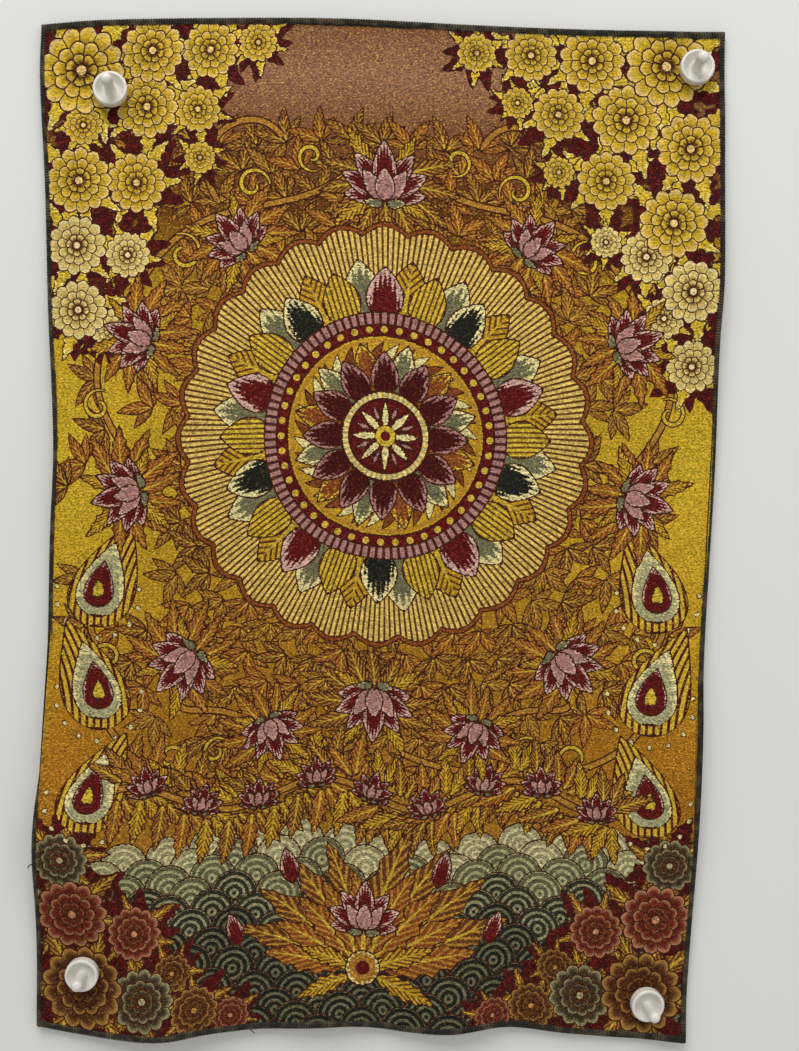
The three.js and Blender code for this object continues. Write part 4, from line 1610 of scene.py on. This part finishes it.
def place_lamp(scene, name, place, degrees, size, power):
    """A square soft light, turned by an angle about X and one about Z."""
    lamp = bpy.data.lights.new(name, "AREA")
    lamp.size = size
    lamp.energy = power
    holder = bpy.data.objects.new(name, lamp)
    holder.location = place
    holder.rotation_euler = (math.radians(degrees[0]), 0, math.radians(degrees[1]))
    scene.collection.objects.link(holder)


def place_camera(scene, settings):
    """The camera in front of the wall, looking at it and a little down."""
    camera = bpy.data.cameras.new("camera")
    camera.lens = settings.focal_length
    camera.sensor_width = 36
    camera.clip_start = 0.01
    viewer = bpy.data.objects.new("camera", camera)
    viewer.location = (settings.camera_aside, -settings.camera_distance, settings.camera_height)
    viewer.rotation_euler = (math.radians(90) - settings.camera_tilt, 0, 0)
    scene.collection.objects.link(viewer)
    scene.camera = viewer


class HANGING_OT_stage(bpy.types.Operator):
    """Sets the wall, the floor, the lights and the camera"""

    bl_idname = "hanging.stage"
    bl_label = "Set stage"

    def execute(self, context):
        scene = context.scene
        settings = scene.hanging_stage
        material = wall_material(shared_group("fine_grain", grain_group), settings)
        half, low, high = 0.45, -1.0, 0.5
        back, front, side = 1.0, -2.0, 1.5
        wall = board("wall", [(-half, 0, low), (half, 0, low), (half, 0, high), (-half, 0, high)], material)
        ground = [(-side, front, low), (side, front, low), (side, back, low), (-side, back, low)]
        floor = board("floor", ground, material)
        for ray in ("visible_shadow", "visible_diffuse", "visible_glossy"):
            setattr(wall, ray, False)
        set_room(scene, settings.world_strength)
        place_lamp(scene, "key", (-0.15, -0.8, 0.95), (36, -10), 0.9, settings.key_power)
        place_lamp(scene, "fill", (0.7, -0.9, 0.0), (86, 38), 0.8, settings.fill_power)
        place_camera(scene, settings)
        scene.view_settings.view_transform = "Standard"
        return {"FINISHED"}


class HANGING_PT_panel(bpy.types.Panel):
    """Lists the pieces and their settings"""

    bl_idname = "HANGING_PT_panel"
    bl_label = "Pinned brocade hanging"
    bl_space_type = "VIEW_3D"
    bl_region_type = "UI"
    bl_category = "Hanging"

    def draw(self, context):
        for pointer, operator in PARTS:
            box = self.layout.box()
            group = getattr(context.scene, pointer)
            for name in group.bl_rna.properties.keys():
                if name not in ("rna_type", "name"):
                    box.prop(group, name)
            box.operator(operator)


PARTS = (
    ("hanging_stage", "hanging.stage"),
    ("hanging_cloth", "hanging.cloth"),
    ("hanging_edging", "hanging.edging"),
    ("hanging_pins", "hanging.pins"),
)
POINTERS = {
    "hanging_cloth": ClothSettings,
    "hanging_edging": EdgingSettings,
    "hanging_pins": PinSettings,
    "hanging_stage": StageSettings,
}
OPERATORS = (HANGING_OT_cloth, HANGING_OT_edging, HANGING_OT_pins, HANGING_OT_stage)
CLASSES = (*POINTERS.values(), *OPERATORS, HANGING_PT_panel)


def register():
    for kind in CLASSES:
        bpy.utils.register_class(kind)
    for name, kind in POINTERS.items():
        setattr(bpy.types.Scene, name, PointerProperty(type=kind))


def unregister():
    for name in POINTERS:
        delattr(bpy.types.Scene, name)
    for kind in reversed(CLASSES):
        bpy.utils.unregister_class(kind)


def main():
    register()
    bpy.ops.hanging.stage()
    bpy.ops.hanging.cloth()
    bpy.ops.hanging.edging()
    bpy.ops.hanging.pins()
    bpy.context.view_layer.update()


if __name__ == "__main__":
    main()
